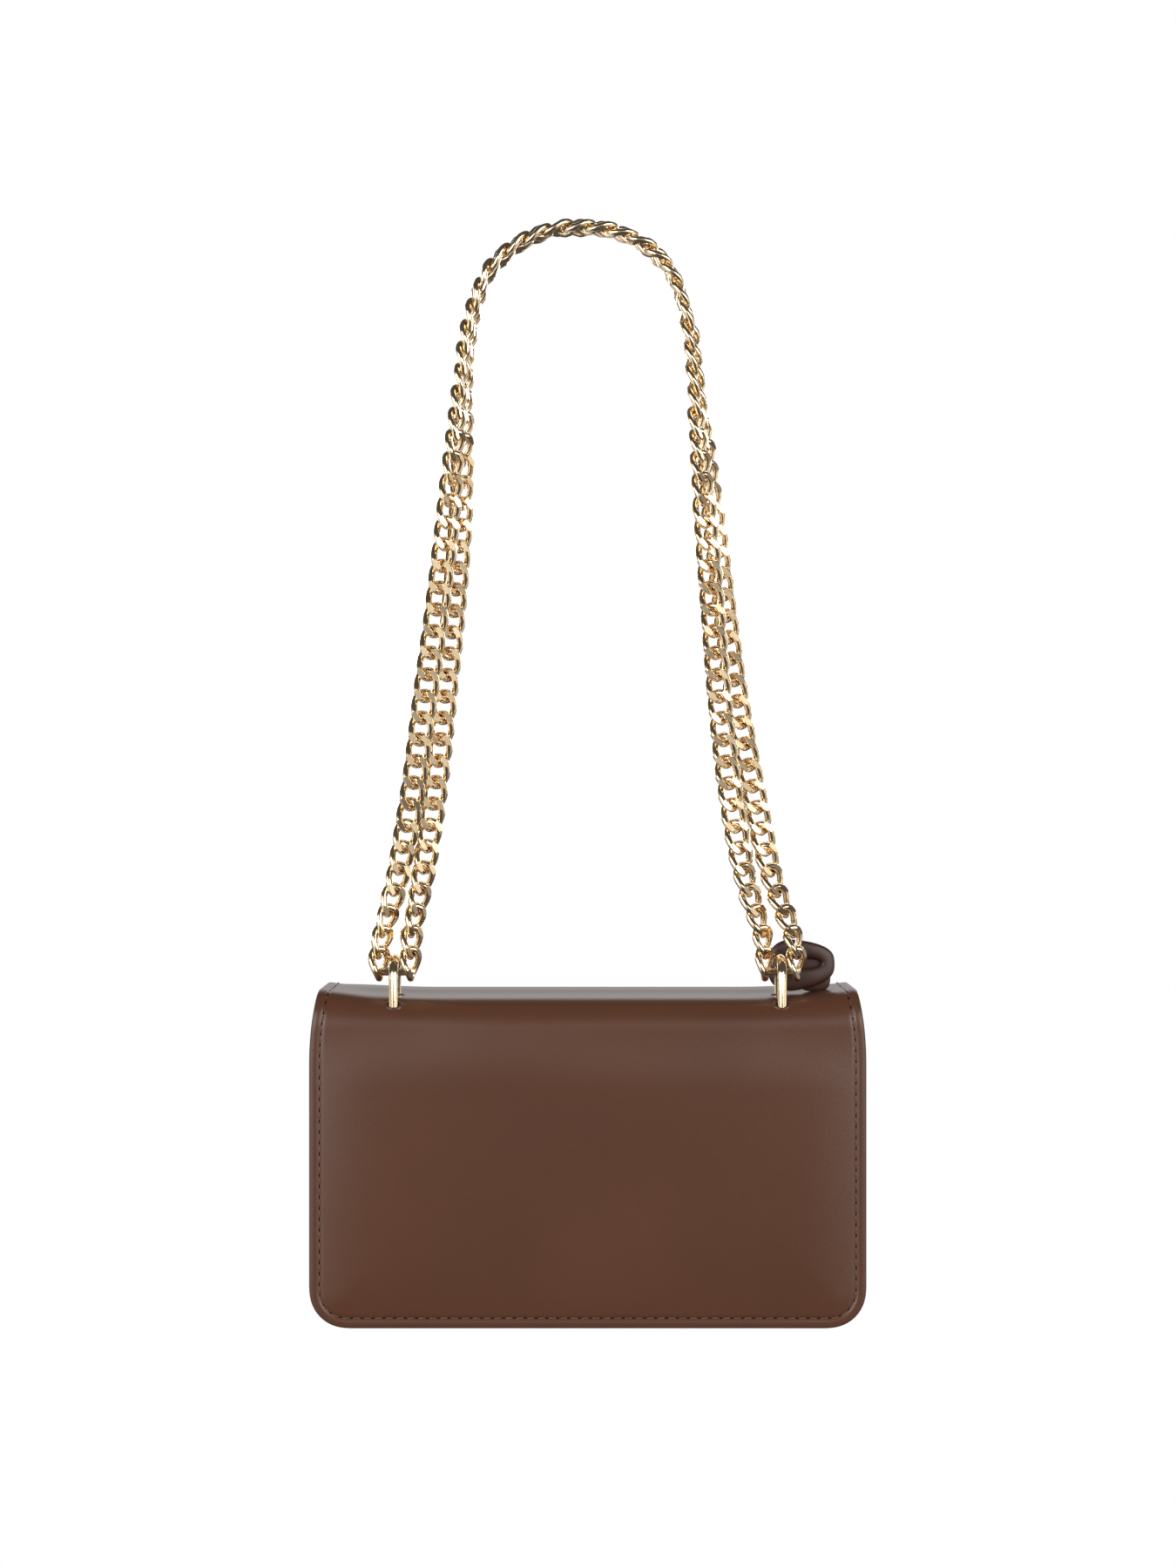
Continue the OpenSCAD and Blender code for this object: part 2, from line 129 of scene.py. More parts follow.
# Soft waves of the back: across, up, reach across, reach up and height
BACK_WAVES = [
    (-0.070, 0.112, 0.020, 0.008, -0.0006), (-0.030, 0.104, 0.030, 0.010, 0.0004),
    (0.025, 0.106, 0.040, 0.008, -0.0003), (0.078, 0.108, 0.018, 0.010, -0.0005),
    (-0.080, 0.060, 0.018, 0.040, 0.0004), (0.020, 0.050, 0.060, 0.030, -0.0004),
    (0.085, 0.050, 0.014, 0.040, 0.0004), (-0.066, 0.123, 0.005, 0.003, -0.0007),
]

# Route of a strand: shares of the way to a ring, of half the strands' gap and of the strap's drop
FRONT_STRAND_SHARES = [
    (-1.065, 0.12, 0.935), (-1.026, 0.3, 0.903), (-0.972, 0.5, 0.852), (-0.888, 0.6, 0.735),
    (-0.825, 0.62, 0.617), (-0.758, 0.7, 0.5), (-0.7, 0.85, 0.382), (-0.654, 0.95, 0.265),
    (-0.606, 1, 0.147), (-0.532, 1, 0.076), (-0.471, 1, 0.047), (-0.402, 1, 0.027),
    (-0.288, 1, 0.007), (-0.153, 1, -0.007), (0, 1, -0.011), (0.158, 1, -0.008), (0.288, 1, 0.005),
    (0.404, 1, 0.027), (0.481, 1, 0.055), (0.531, 1, 0.095), (0.557, 1, 0.147), (0.599, 0.95, 0.265),
    (0.636, 0.85, 0.382), (0.67, 0.7, 0.5), (0.703, 0.62, 0.617), (0.75, 0.6, 0.735),
    (0.819, 0.5, 0.852), (0.872, 0.3, 0.903), (0.91, 0.12, 0.935),
]
BACK_STRAND_SHARES = [
    (-0.903, 0.12, 0.935), (-0.875, 0.3, 0.903), (-0.837, 0.5, 0.852), (-0.77, 0.6, 0.735),
    (-0.72, 0.62, 0.617), (-0.672, 0.7, 0.5), (-0.635, 0.85, 0.382), (-0.618, 0.95, 0.265),
    (-0.59, 1, 0.143), (-0.532, 1, 0.071), (-0.471, 1, 0.041), (-0.402, 1, 0.020),
    (-0.288, 1, 0), (-0.153, 1, -0.014), (0, 1, -0.018), (0.158, 1, -0.015), (0.288, 1, -0.002),
    (0.404, 1, 0.020), (0.481, 1, 0.049), (0.536, 1, 0.090), (0.587, 1, 0.143), (0.636, 0.95, 0.265),
    (0.682, 0.85, 0.382), (0.733, 0.7, 0.5), (0.79, 0.62, 0.617), (0.866, 0.6, 0.735),
    (0.95, 0.5, 0.852), (1.01, 0.3, 0.903), (1.052, 0.12, 0.935),
]
TURN_SHARES = [
    (0, -52), (0.03, -52), (0.11, -4), (0.25, 0), (0.36, -80), (0.48, -86), (0.63, -90), (0.75, -180),
    (0.89, -176), (0.97, -128), (1, -128),
]
TURN_WOBBLE = 7
LINK_TWIST = math.radians(-40)
LINK_SQUARENESS = 2.4
CURVE_STEPS = 12

# Mesh of the back and flap: columns, and distances between rows on the faces, round a bend and beside it
PANEL_COLUMNS = 60
FACE_STEP = 0.0034
BEND_STEP = 0.0013
ROW_GAP = 0.0016

# A panel's face by its distance in: the groove under the stitches, the rim's swelling and the padded slope
GROOVE_DEPTH = 0.0004
GROOVE_IN = 0.0039
GROOVE_REACH = 0.0006
RIM_SWELL = 0.0002
RIM_SWELL_IN = 0.0022
RIM_SWELL_REACH = 0.0011
PADDING_IN = 0.0043
PADDING_REACH = 0.011

# How the stitches and needle holes sit on the leather; a needle hole is a dark blob of painted shade, not a
# real hole
STITCH_LIFT = 0.00012
HOLE_LIFT = 0.00004
HOLE_DEPTH = 0.0002

# Half sizes of a ring's slit, and its lip as steps outwards and up
SLIT_HALF_X = 0.0023
SLIT_HALF_S = 0.0016
SLIT_LIP = ((0.0002, 0.0002), (0.0005, 0.0003), (0.0009, 0.0001), (0.0014, -0.0004))

# The camera looks level from the back, with the tall side of its picture given at the bag's back
CAMERA_X = 0.0036
CAMERA_Z = -0.208
CAMERA_DISTANCE = 0.97
PICTURE_SIDE = 0.5904

# Lamps: way across, way in depth and power
LAMPS = ((-1, -1, 16), (1, -1, 14), (-1, 1, 13), (1, 1, 13))
LAMP_TARGET = (0, 0, -0.3)
LAMP_SIZE = (1.25, 1.0)
FLOOR_HALF = 30
FLOOR_Z = -1.5

# The room that only reflections show
ROOM_RADIUS = 4.5
ROOM_FLATNESS = 0.64
ROOM_MIDDLE_Z = 1.5
ROOM_WINDOW_Y = 4
ROOM_DIM = 0.08


def length(name, description, default):
    """A setting that is a length in metres."""
    return FloatProperty(name=name, description=description, default=default, unit="LENGTH")


def colour(name, description, default):
    """A setting that is a colour."""
    return FloatVectorProperty(
        name=name, description=description, default=default, subtype="COLOR", min=0, max=1
    )


class BagSizes(PropertyGroup):
    """Sizes of the detail that the frame doesn't hold."""

    crown: length("Crown", "How far the padded back stands out from its seam", 0.0018)
    sag: length("Sag", "How far the top sinks between the side seams", 0.0012)
    grain: length("Grain", "Distance from pore to pore of the leather", 0.0006)
    seam_in: length("Seam inset", "Distance of the stitches from the cut edge", 0.0039)
    stitch_pitch: length("Stitch pitch", "Distance from stitch to stitch", 0.0041)
    stitch_length: length("Stitch length", "Length of a stitch that shows", 0.0027)
    thread: length("Thread", "Diameter of the thread", 0.00062)
    # A needle hole is drawn as a dark blob of painted shade of this length
    hole: length("Hole", "Length of a needle hole", 0.0014)
    wire: length("Wire", "Diameter of the chain's wire", 0.0028)
    link_length: length("Link length", "Length of a link", 0.014)
    link_width: length("Link width", "Width of a link", 0.0102)
    link_flat: length("Link thickness", "Thickness between a link's ground faces", 0.0044)
    link_pitch: length("Link pitch", "Distance from link to link", 0.00825)
    link_steps: IntProperty(name="Link steps", description="Steps round a link", default=24, min=12, max=48)
    ring_band: length("Ring band", "Width of a ring's bar", 0.0035)
    ring_ridge: length("Ring ridge", "Height of the ridge along a ring's bar", 0.0009)
    tag_thick: length("Tag thickness", "Thickness of the padded tag", 0.0028)


class BagColours(PropertyGroup):
    """Colours of the materials."""

    leather: colour("Leather", "Outer leather", (0.100, 0.037, 0.018))
    edge: colour("Edge paint", "Painted cut edges", (0.07, 0.03, 0.018))
    thread: colour("Thread", "Stitches", (0.15, 0.072, 0.038))
    # Holes: a near-black that paints the shade inside the needle holes and the ring slits
    hole: colour("Holes", "Needle holes and slits", (0.012, 0.005, 0.003))
    lining: colour("Lining", "Lining and pocket", (0.26, 0.17, 0.12))
    tag: colour("Tag", "Leather tag", (0.055, 0.019, 0.011))
    metal: colour("Light gold", "Chain and rings", (0.91, 0.715, 0.47))


def smooth(low, high, value):
    """0 below low, 1 above high and a smooth step between them."""
    share = min(1.0, max(0.0, (value - low) / (high - low)))
    return share * share * (3 - 2 * share)


def bump(value, middle, reach):
    """A bell of height 1 about a middle."""
    return math.exp(-(((value - middle) / reach) ** 2))


def even(low, high, step):
    """Evenly spaced values from low to high, both included."""
    count = max(1, round((high - low) / step))
    return [low + (high - low) * i / count for i in range(count + 1)]


def lookup(value, table):
    """The value of a table of pairs, straight between its rows."""
    for (low, a), (high, b) in zip(table, table[1:]):
        if value <= high:
            return a + (b - a) * max(0.0, value - low) / (high - low)
    return table[-1][1]


def in_bag(x, depth, height):
    """A point of the bag's own frame, in the row's frame."""
    return ORIGIN + Vector((x, depth, height))


def only(geometry, kind):
    """The vertices, edges or faces among some geometry."""
    return [part for part in geometry if isinstance(part, kind)]


def whole(bm):
    """All vertices, edges and faces of a bmesh."""
    return bm.verts[:] + bm.edges[:] + bm.faces[:]


def extrude(bm, edges):
    """The new geometry from the extrusion of some edges."""
    return bmesh.ops.extrude_edge_only(bm, edges=edges)["geom"]


def handed_on(made, values):
    """The value of each new vertex of an extrusion, taken over from the vertex that it came from."""
    fresh = {}
    for vert in only(made, BMVert):
        around = [e.other_vert(vert) for e in vert.link_edges]
        fresh[vert] = next(values[old] for old in around if old in values)
    return fresh


def face_up(bm):
    """Recalculates a sheet's normals and points them up."""
    bmesh.ops.recalc_face_normals(bm, faces=bm.faces)
    if sum(face.normal.z for face in bm.faces) < 0:
        bmesh.ops.reverse_faces(bm, faces=bm.faces)


def face_base(bm, downwards):
    """Recalculates the normals of an open tub or strip, by which way its base shall face."""
    bmesh.ops.recalc_face_normals(bm, faces=bm.faces)
    base = min(bm.faces, key=lambda face: face.calc_center_median().z)
    if (base.normal.z > 0) == downwards:
        bmesh.ops.reverse_faces(bm, faces=bm.faces)


def to_mesh(bm, name):
    """A mesh from a bmesh, which ends with it."""
    mesh = bpy.data.meshes.new(name)
    bm.to_mesh(mesh)
    bm.free()
    return mesh


def half_width(z):
    """Half of a panel's width at a height above the bag's bottom edge, without its round corners."""
    up = max(0.0, z - (BAG_H - SHOULDER_H))
    return HALF_W - SHOULDER_R + math.sqrt(SHOULDER_R**2 - up**2)


def hide_spot(s):
    """Depth, height and outward direction at a distance along the hide."""
    if s < BACK_BEND_Z:
        return 0.0, s, -1.0, 0.0
    if s < TOP_START:
        turn = (s - BACK_BEND_Z) / BACK_BEND_R
        depth = BACK_BEND_R - BACK_BEND_R * math.cos(turn)
        return depth, BACK_BEND_Z + BACK_BEND_R * math.sin(turn), -math.cos(turn), math.sin(turn)
    if s < TOP_END:
        return BACK_BEND_R + s - TOP_START, BAG_H, 0.0, 1.0
    if s < FRONT_START:
        turn = (s - TOP_END) / BEND_R
        depth = BAG_D - BEND_R + BEND_R * math.sin(turn)
        return depth, BEND_Z + BEND_R * math.cos(turn), math.sin(turn), math.cos(turn)
    return BAG_D, BEND_Z - (s - FRONT_START), 1.0, 0.0


def on_hide(x, s, rise):
    """A point a little above the hide's outer face."""
    depth, up, out_y, out_z = hide_spot(s)
    return in_bag(x, depth + out_y * rise, up + out_z * rise)


class Pattern:
    """A flat pattern piece with round low corners, sides that follow a width and a straight far end.

    Rows are the heights of its side stations above the corners. A closed piece has a rim on its far end too.
    """

    def __init__(self, width, corner, rows, closed=False):
        self.width = width
        self.corner = corner
        self.rows = rows
        self.closed = closed

    def side(self, station, inset):
        """Across and up at an inset on the right edge. A station below 0 turns round the corner."""
        if station < 0:
            turn = math.pi / 2 * (station + 1)
            radius = self.corner - inset
            x = self.width(self.corner) - self.corner + radius * math.sin(turn)
            return x, self.corner - radius * math.cos(turn)
        step = 0.0004
        slope = (self.width(station + step) - self.width(station - step)) / (2 * step)
        run = math.sqrt(1 + slope * slope)
        return self.width(station) - inset / run, station + inset * slope / run

    def stations(self, corner_steps=6):
        """Stations of the right edge, from the low end to the far end."""
        return [-1 + i / corner_steps for i in range(corner_steps)] + self.rows

    def place(self, spot, inset):
        """A rim vertex at an inset. Its spot is a side and station, or 0 or 2 and a share of an end."""
        kind, value = spot
        if kind == 0:
            return Vector((value * self.side(-1, inset)[0], inset, 0))
        if kind == 2:
            end = self.rows[-1] + INNER_RIM - inset
            return Vector((value * (self.width(end) - inset), end, 0))
        x, up = self.side(value, inset)
        return Vector((kind * x, up, 0))

    def sheet(self, columns, inner=INNER_RIM, rim=RIM_STEPS, edge=CUT_EDGE):
        """The piece laid flat, and its layers of insets and of depths below the face."""
        bm = bmesh.new()
        inset = bm.verts.layers.float.new("inset")
        drop = bm.verts.layers.float.new("drop")
        stations = self.stations()
        last = len(stations) - 1
        bmesh.ops.create_grid(bm, x_segments=columns, y_segments=last, size=1)
        spots = {}
        for vert in bm.verts:
            share = vert.co.x
            row = round((vert.co.y + 1) / 2 * last)
            if row == last and self.closed:
                vert.co = self.place((2, share), inner)
                spots[vert] = (2, share)
            else:
                x, up = self.side(stations[row], inner)
                vert.co = (share * x, up, 0)
                if abs(share) > 1 - TINY:
                    spots[vert] = (math.copysign(1, share), stations[row])
                elif row == 0:
                    spots[vert] = (0, share)
            vert[inset] = self.depth_in(vert.co.x, vert.co.y, inner)
        for far, low in [(step, 0.0) for step in rim] + edge:
            edges = [e for e in bm.edges if e.is_boundary and self.on_rim(e, spots)]
            spots = handed_on(extrude(bm, edges), spots)
            for vert, spot in spots.items():
                vert.co = self.place(spot, far)
                vert[inset] = far
                vert[drop] = low
        face_up(bm)
        for face in bm.faces:
            face.material_index = int(sum(vert[drop] for vert in face.verts) > 0.0002)
        return bm, inset, drop

    def depth_in(self, x, up, inner):
        """How far a point of the inner grid lies in from the cut edge."""
        gap = self.width(max(up, self.corner)) - abs(x)
        if self.closed:
            gap = min(gap, self.rows[-1] + INNER_RIM - up)
        return max(inner, min(gap, up))

    def on_rim(self, e, spots):
        """Whether an edge belongs to the rim, and not to an open far end."""
        if not all(vert in spots for vert in e.verts):
            return False
        return self.closed or not all(spots[vert][1] == self.rows[-1] for vert in e.verts)

    def seam(self, inset):
        """Points along the seam, from the far end's left down, along the bottom and up on the right."""
        right = [self.side(station, inset) for station in self.stations(18)]
        return [Vector((-x, up)) for x, up in reversed(right)] + [Vector(point) for point in right]


def rim_height(inset, crown):
    """A sewn panel's face near its seam: a flat rim, a groove under the thread and a padded slope inside."""
    groove = GROOVE_DEPTH * bump(inset, GROOVE_IN, GROOVE_REACH)
    swell = RIM_SWELL * bump(inset, RIM_SWELL_IN, RIM_SWELL_REACH)
    return swell - groove + crown * (1 - math.exp(-max(0.0, inset - PADDING_IN) / PADDING_REACH))


def back_height(x, s, inset):
    """Shape of the back and top leather above its flat pattern."""
    sizes = bpy.context.scene.bag_sizes
    height = rim_height(inset, sizes.crown * (1 - smooth(BACK_BEND_Z - 0.022, BACK_BEND_Z + 0.008, s)))
    over = smooth(BACK_BEND_Z + 0.003, TOP_START, s) * (1 - smooth(TOP_START + 0.012, SPLIT_S, s))
    height -= sizes.sag * over * smooth(0.004, 0.02, inset)
    for middle_x, middle_s, reach_x, reach_s, deep in BACK_WAVES:
        height += deep * bump(x, middle_x, reach_x) * bump(s, middle_s, reach_s)
    return height * (1 - smooth(SPLIT_S - 0.008, SPLIT_S - 0.001, s)) + side_rise(x, s)


def side_rise(x, s):
    """How far the top stands up towards its side seams, on the back leather and the flap alike."""
    inset = HALF_W - abs(x)
    over = smooth(BACK_BEND_Z, TOP_START - 0.004, s) * (1 - smooth(TOP_END - 0.002, FRONT_START, s))
    return over * (0.0012 * (1 - smooth(0.008, 0.045, inset)) + 0.0008 * (1 - smooth(0.002, 0.010, inset)))


def flap_height(x, e, inset):
    """Shape of the flap's leather above its flat pattern, by its distance from the lower edge."""
    front = 1 - smooth(HIDE_END - FRONT_START - 0.004, HIDE_END - TOP_END, e)
    return rim_height(inset, 0.0016) * front + side_rise(x, HIDE_END - e)


def back_pattern():
    """The back and the top as far as the split line."""
    bend = BACK_BEND_Z
    rows = even(CORNER_R, bend - 0.022, FACE_STEP) + even(bend - 0.020, bend - ROW_GAP, 0.0022)
    rows += even(bend, TOP_START, BEND_STEP) + even(TOP_START + ROW_GAP, SPLIT_S, 0.003)
    return Pattern(lambda s: half_width(hide_spot(s)[1]), CORNER_R, rows)


def flap_pattern(end, top_step, inset=0.0):
    """The flap from its lower edge up the front and over the front bend to an end on the top."""
    up, over = HIDE_END - FRONT_START, HIDE_END - TOP_END
    rows = even(CORNER_R, up - ROW_GAP, FACE_STEP) + even(up, over, BEND_STEP)
    rows += even(over + ROW_GAP, end, top_step)
    return Pattern(lambda e: half_width(hide_spot(HIDE_END - e)[1]) - inset, CORNER_R, rows)


def front_pattern():
    """The front panel, closed at its top."""
    return Pattern(half_width, CORNER_R, even(CORNER_R, FRONT_TOP - INNER_RIM, FACE_STEP), closed=True)


def finish_mesh(bm, name, materials, levels=0):
    """An object from a bmesh, smooth shaded, with its materials."""
    mesh = to_mesh(bm, name)
    mesh.shade_smooth()
    obj = bpy.data.objects.new(name, mesh)
    bpy.context.scene.collection.objects.link(obj)
    for material in materials:
        mesh.materials.append(bpy.data.materials[material])
    if levels:
        fine = obj.modifiers.new("Smooth", "SUBSURF")
        fine.levels = levels
        fine.render_levels = levels
    return obj


def add_thickness(obj, thickness, rim=0):
    """Gives a sheet its thickness on the side away from its faces, and rounds the cut edges."""
    solid = obj.modifiers.new("Thickness", "SOLIDIFY")
    solid.thickness = thickness
    solid.offset = -1
    solid.material_offset_rim = rim
    edges = obj.modifiers.new("Edges", "BEVEL")
    edges.width = thickness * 0.3
    edges.segments = 2
    edges.limit_method = "ANGLE"
    edges.angle_limit = math.radians(50)


def keep_sharp(bm, angle):
    """Marks the edges that turn by more than an angle as sharp."""
    for e in bm.edges:
        e.smooth = e.calc_face_angle(0) < angle


def add_copy(target, source, matrix):
    """Adds a copy of a mesh to a bmesh at a place."""
    before = len(target.verts)
    target.from_mesh(source)
    target.verts.ensure_lookup_table()
    bmesh.ops.transform(target, matrix=matrix, verts=target.verts[before:])


def axes(point, first, second, third):
    """The matrix that puts a shape at a point along three axes."""
    return Matrix.Translation(point) @ Matrix((first, second, third)).transposed().to_4x4()


def spaced(points, pitch):
    """Evenly spaced points along a line of points."""
    runs = [0.0]
    for a, b in zip(points, points[1:]):
        runs.append(runs[-1] + (b - a).length)
    count = round(runs[-1] / pitch)
    columns = [[(run, point[axis]) for run, point in zip(runs, points)] for axis in range(len(points[0]))]
    return [Vector([lookup(i * runs[-1] / count, column) for column in columns]) for i in range(count + 1)]


def stitch_meshes(sizes):
    """One stitch and one needle hole, lying along X with Z outwards. The needle hole is a dark blob, painted
    shade in place of a real hole.
    """
    meshes = []
    shapes = [
        (sizes.stitch_length, sizes.thread, sizes.thread), (sizes.hole, sizes.thread * 1.2, HOLE_DEPTH)
    ]
    for index, shape in enumerate(shapes):
        bm = bmesh.new()
        bmesh.ops.create_uvsphere(bm, u_segments=8, v_segments=5, radius=0.5)
        bmesh.ops.rotate(bm, verts=bm.verts, matrix=Matrix.Rotation(math.pi / 2, 3, "Y"))
        bmesh.ops.scale(bm, verts=bm.verts, vec=shape)
        for face in bm.faces:
            face.material_index = index
        meshes.append(to_mesh(bm, "stitch"))
    return meshes


def sew(name, pattern, wrap, height):
    """Stitches along a panel's seam, with a needle hole between each two, drawn as a dark blob of painted
    shade.
    """
    sizes = bpy.context.scene.bag_sizes
    stitch, hole = stitch_meshes(sizes)
    stops = spaced(pattern.seam(sizes.seam_in), sizes.stitch_pitch / 2)
    bm = bmesh.new()
    for i in range(1, len(stops) - 1):
        x, up = stops[i]
        here = wrap(x, up, height(x, up))
        along = (wrap(*stops[i + 1], 0) - wrap(*stops[i - 1], 0)).normalized()
        out = (wrap(x, up, 0.001) - wrap(x, up, 0)).normalized()
        # Between the stitches sits a dark blob of painted shade for the needle hole
        mesh, lift = hole, HOLE_LIFT
        if i % 2:
            mesh, lift = stitch, STITCH_LIFT
            along = Matrix.Rotation(math.radians(5 + 3 * math.sin(1.7 * i)), 3, out) @ along
        add_copy(bm, mesh, axes(here + out * lift, along, out.cross(along), out))
    return finish_mesh(bm, name, ["thread", "hole"])


class BAG_OT_materials(Operator):
    """Make the leather, edge, tag, thread, lining, needle hole and metal materials; the needle hole material
    is a near-black that paints the shade inside holes and slits
    """

    bl_idname = "bag.materials"
    bl_label = "Materials"

    def execute(self, context):
        grain, thread = context.scene.bag_sizes.grain, context.scene.bag_sizes.thread
        # Roughness, size and depth of the grain, and strength and scale of the shades
        grained = {
            "leather": (0.33, grain, 0.000022, 0.06, 18),
            "edge": (0.45, grain * 2, 0.00003, 0.1, 60),
            "tag": (0.4, grain, 0.00002, 0.08, 60),
            "thread": (0.35, thread / 2, 0.00005, 0.2, 400),
            "lining": (0.85, grain / 2, 0.00003, 0.08, 30),
        }
        for name, (roughness, size, depth, amount, scale) in grained.items():
            material = new_material(name, roughness)
            add_grain(material, size, depth)
            add_shades(material, name, amount, scale)
        # The hole material is painted shade for the needle holes and slits, with little gloss so that it
        # stays dark
        hole = new_material("hole", 0.9)
        hole.node_tree.nodes["Principled BSDF"].inputs["Specular IOR Level"].default_value = 0.1
        add_shades(hole, "hole", 0.3, 400)
        metal = new_material("metal", 0.12, metallic=1.0)
        add_shades(metal, "metal", 0.05, 90)
        add_polish(metal, 0.0006, 0.10, 0.14)
        return {"FINISHED"}


def new_material(name, roughness, metallic=0.0):
    """A material with one principled shader in the setting's colour."""
    material = bpy.data.materials.new(name)
    material.use_nodes = True
    shader = material.node_tree.nodes["Principled BSDF"]
    shader.inputs["Base Color"].default_value = (*getattr(bpy.context.scene.bag_colours, name), 1.0)
    shader.inputs["Roughness"].default_value = roughness
    shader.inputs["Metallic"].default_value = metallic
    return material


def texture(tree, kind, scale):
    """A texture node on the piece's own coordinates."""
    place = tree.nodes.new("ShaderNodeTexCoord")
    node = tree.nodes.new(f"ShaderNodeTex{kind}")
    node.inputs["Scale"].default_value = scale
    tree.links.new(place.outputs["Object"], node.inputs["Vector"])
    return node


def add_grain(material, size, depth):
    """A fine pebbled surface."""
    tree = material.node_tree
    cells = texture(tree, "Voronoi", 1 / size)
    cells.feature = "SMOOTH_F1"
    raised = tree.nodes.new("ShaderNodeBump")
    raised.inputs["Distance"].default_value = depth
    tree.links.new(cells.outputs["Distance"], raised.inputs["Height"])
    tree.links.new(raised.outputs["Normal"], tree.nodes["Principled BSDF"].inputs["Normal"])


def add_shades(material, name, amount, scale):
    """Slight changes of shade across a piece, about the colour of the setting with that name."""
    tree = material.node_tree
    cloud = texture(tree, "Noise", scale)
    cloud.inputs["Detail"].default_value = 3
    shade = tree.nodes.new("ShaderNodeValToRGB")
    base = getattr(bpy.context.scene.bag_colours, name)
    for element, position, share in zip(shade.color_ramp.elements, (0.3, 0.7), (1 - amount, 1 + amount)):
        element.position = position
        element.color = (*[part * share for part in base], 1.0)
    tree.links.new(cloud.outputs["Fac"], shade.inputs["Fac"])
    tree.links.new(shade.outputs["Color"], tree.nodes["Principled BSDF"].inputs["Base Color"])


def add_polish(material, size, low, high):
    """Patches of brighter and duller polish, between two roughnesses."""
    tree = material.node_tree
    cloud = texture(tree, "Noise", 1 / size)
    dull = ramp(tree, cloud.outputs["Fac"], 0.3, 0.7, low, high)
    tree.links.new(dull, tree.nodes["Principled BSDF"].inputs["Roughness"])


def ramp(tree, value, low, high, bottom=0.0, top=1.0):
    """A smooth step of a node's value from bottom to top."""
    step = tree.nodes.new("ShaderNodeMapRange")
    step.interpolation_type = "SMOOTHSTEP"
    step.inputs["From Min"].default_value = low
    step.inputs["From Max"].default_value = high
    step.inputs["To Min"].default_value = bottom
    step.inputs["To Max"].default_value = top
    tree.links.new(value, step.inputs["Value"])
    return step.outputs[0]


def combine(tree, operation, first, second):
    """The sum, product or larger of two nodes' values."""
    node = tree.nodes.new("ShaderNodeMath")
    node.operation = operation
    tree.links.new(first, node.inputs[0])
    tree.links.new(second, node.inputs[1])
    return node.outputs[0]


class BAG_OT_back_leather(Operator):
    """Make the back panel with the top, as far as a line behind the flap's fold"""

    bl_idname = "bag.back_leather"
    bl_label = "Back leather"

    def execute(self, context):
        pattern = back_pattern()
        bm, inset, drop = pattern.sheet(PANEL_COLUMNS)
        for vert in bm.verts:
            x, s, _ = vert.co
            vert.co = on_hide(x, s, back_height(x, s, vert[inset]) - vert[drop])
        obj = finish_mesh(bm, "back_leather", ["leather", "edge"], levels=1)
        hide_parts("back_panel")
        seam_in = context.scene.bag_sizes.seam_in
        seam = sew("stitches_back", pattern, on_hide, lambda x, s: back_height(x, s, seam_in))
        for piece in (obj, seam):
            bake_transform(piece)
        return {"FINISHED"}


class BAG_OT_flap_leather(Operator):
    """Make the flap's leather from the split line over the front bend to its lower edge"""

    bl_idname = "bag.flap_leather"
    bl_label = "Flap leather"

    def execute(self, context):
        pattern = flap_pattern(HIDE_END - SPLIT_S, 0.002)
        bm, inset, drop = pattern.sheet(PANEL_COLUMNS)
        for vert in bm.verts:
            x, e, _ = vert.co
            vert.co = on_hide(x, HIDE_END - e, flap_height(x, e, vert[inset]) - vert[drop])
        bmesh.ops.reverse_faces(bm, faces=bm.faces)
        obj = finish_mesh(bm, "flap_leather", ["leather", "edge"], levels=1)
        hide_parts("flap_top_leather", "flap_front_leather")
        seam_in = context.scene.bag_sizes.seam_in
        seam = sew(
            "stitches_flap", pattern, lambda x, e, rise: on_hide(x, HIDE_END - e, rise),
            lambda x, e: flap_height(x, e, seam_in),
        )
        for piece in (obj, seam):
            blend_front_bend(piece)
        return {"FINISHED"}


def blend_front_bend(piece):
    """Bakes a flap piece's place into its mesh."""
    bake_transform(piece)


class BAG_OT_flap_lining(Operator):
    """Make the flap's lining, which meets the leather along the seam"""

    bl_idname = "bag.flap_lining"
    bl_label = "Flap lining"

    def execute(self, context):
        end = HIDE_END - TOP_START - FLAP_FOLD_Y + BACK_BEND_R - 0.0004
        pattern = flap_pattern(end, 0.003, inset=0.0002)
        bm, inset, _ = pattern.sheet(PANEL_COLUMNS, edge=[])
        sewn = LEATHER_T + LINING_T
        for vert in bm.verts:
            x, e, _ = vert.co
            front = 1 - smooth(HIDE_END - FRONT_START, HIDE_END - TOP_END, e)
            deep = sewn + (FLAP_IN - LEATHER_T - LINING_T) * front * smooth(0.002, 0.009, vert[inset])
            vert.co = on_hide(x, HIDE_END - e, -deep)
        obj = finish_mesh(bm, "flap_lining", ["lining", "edge"])
        add_thickness(obj, LINING_T * 0.9, rim=1)
        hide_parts("flap_top_lining", "flap_front_lining")
        blend_front_bend(obj)
        return {"FINISHED"}


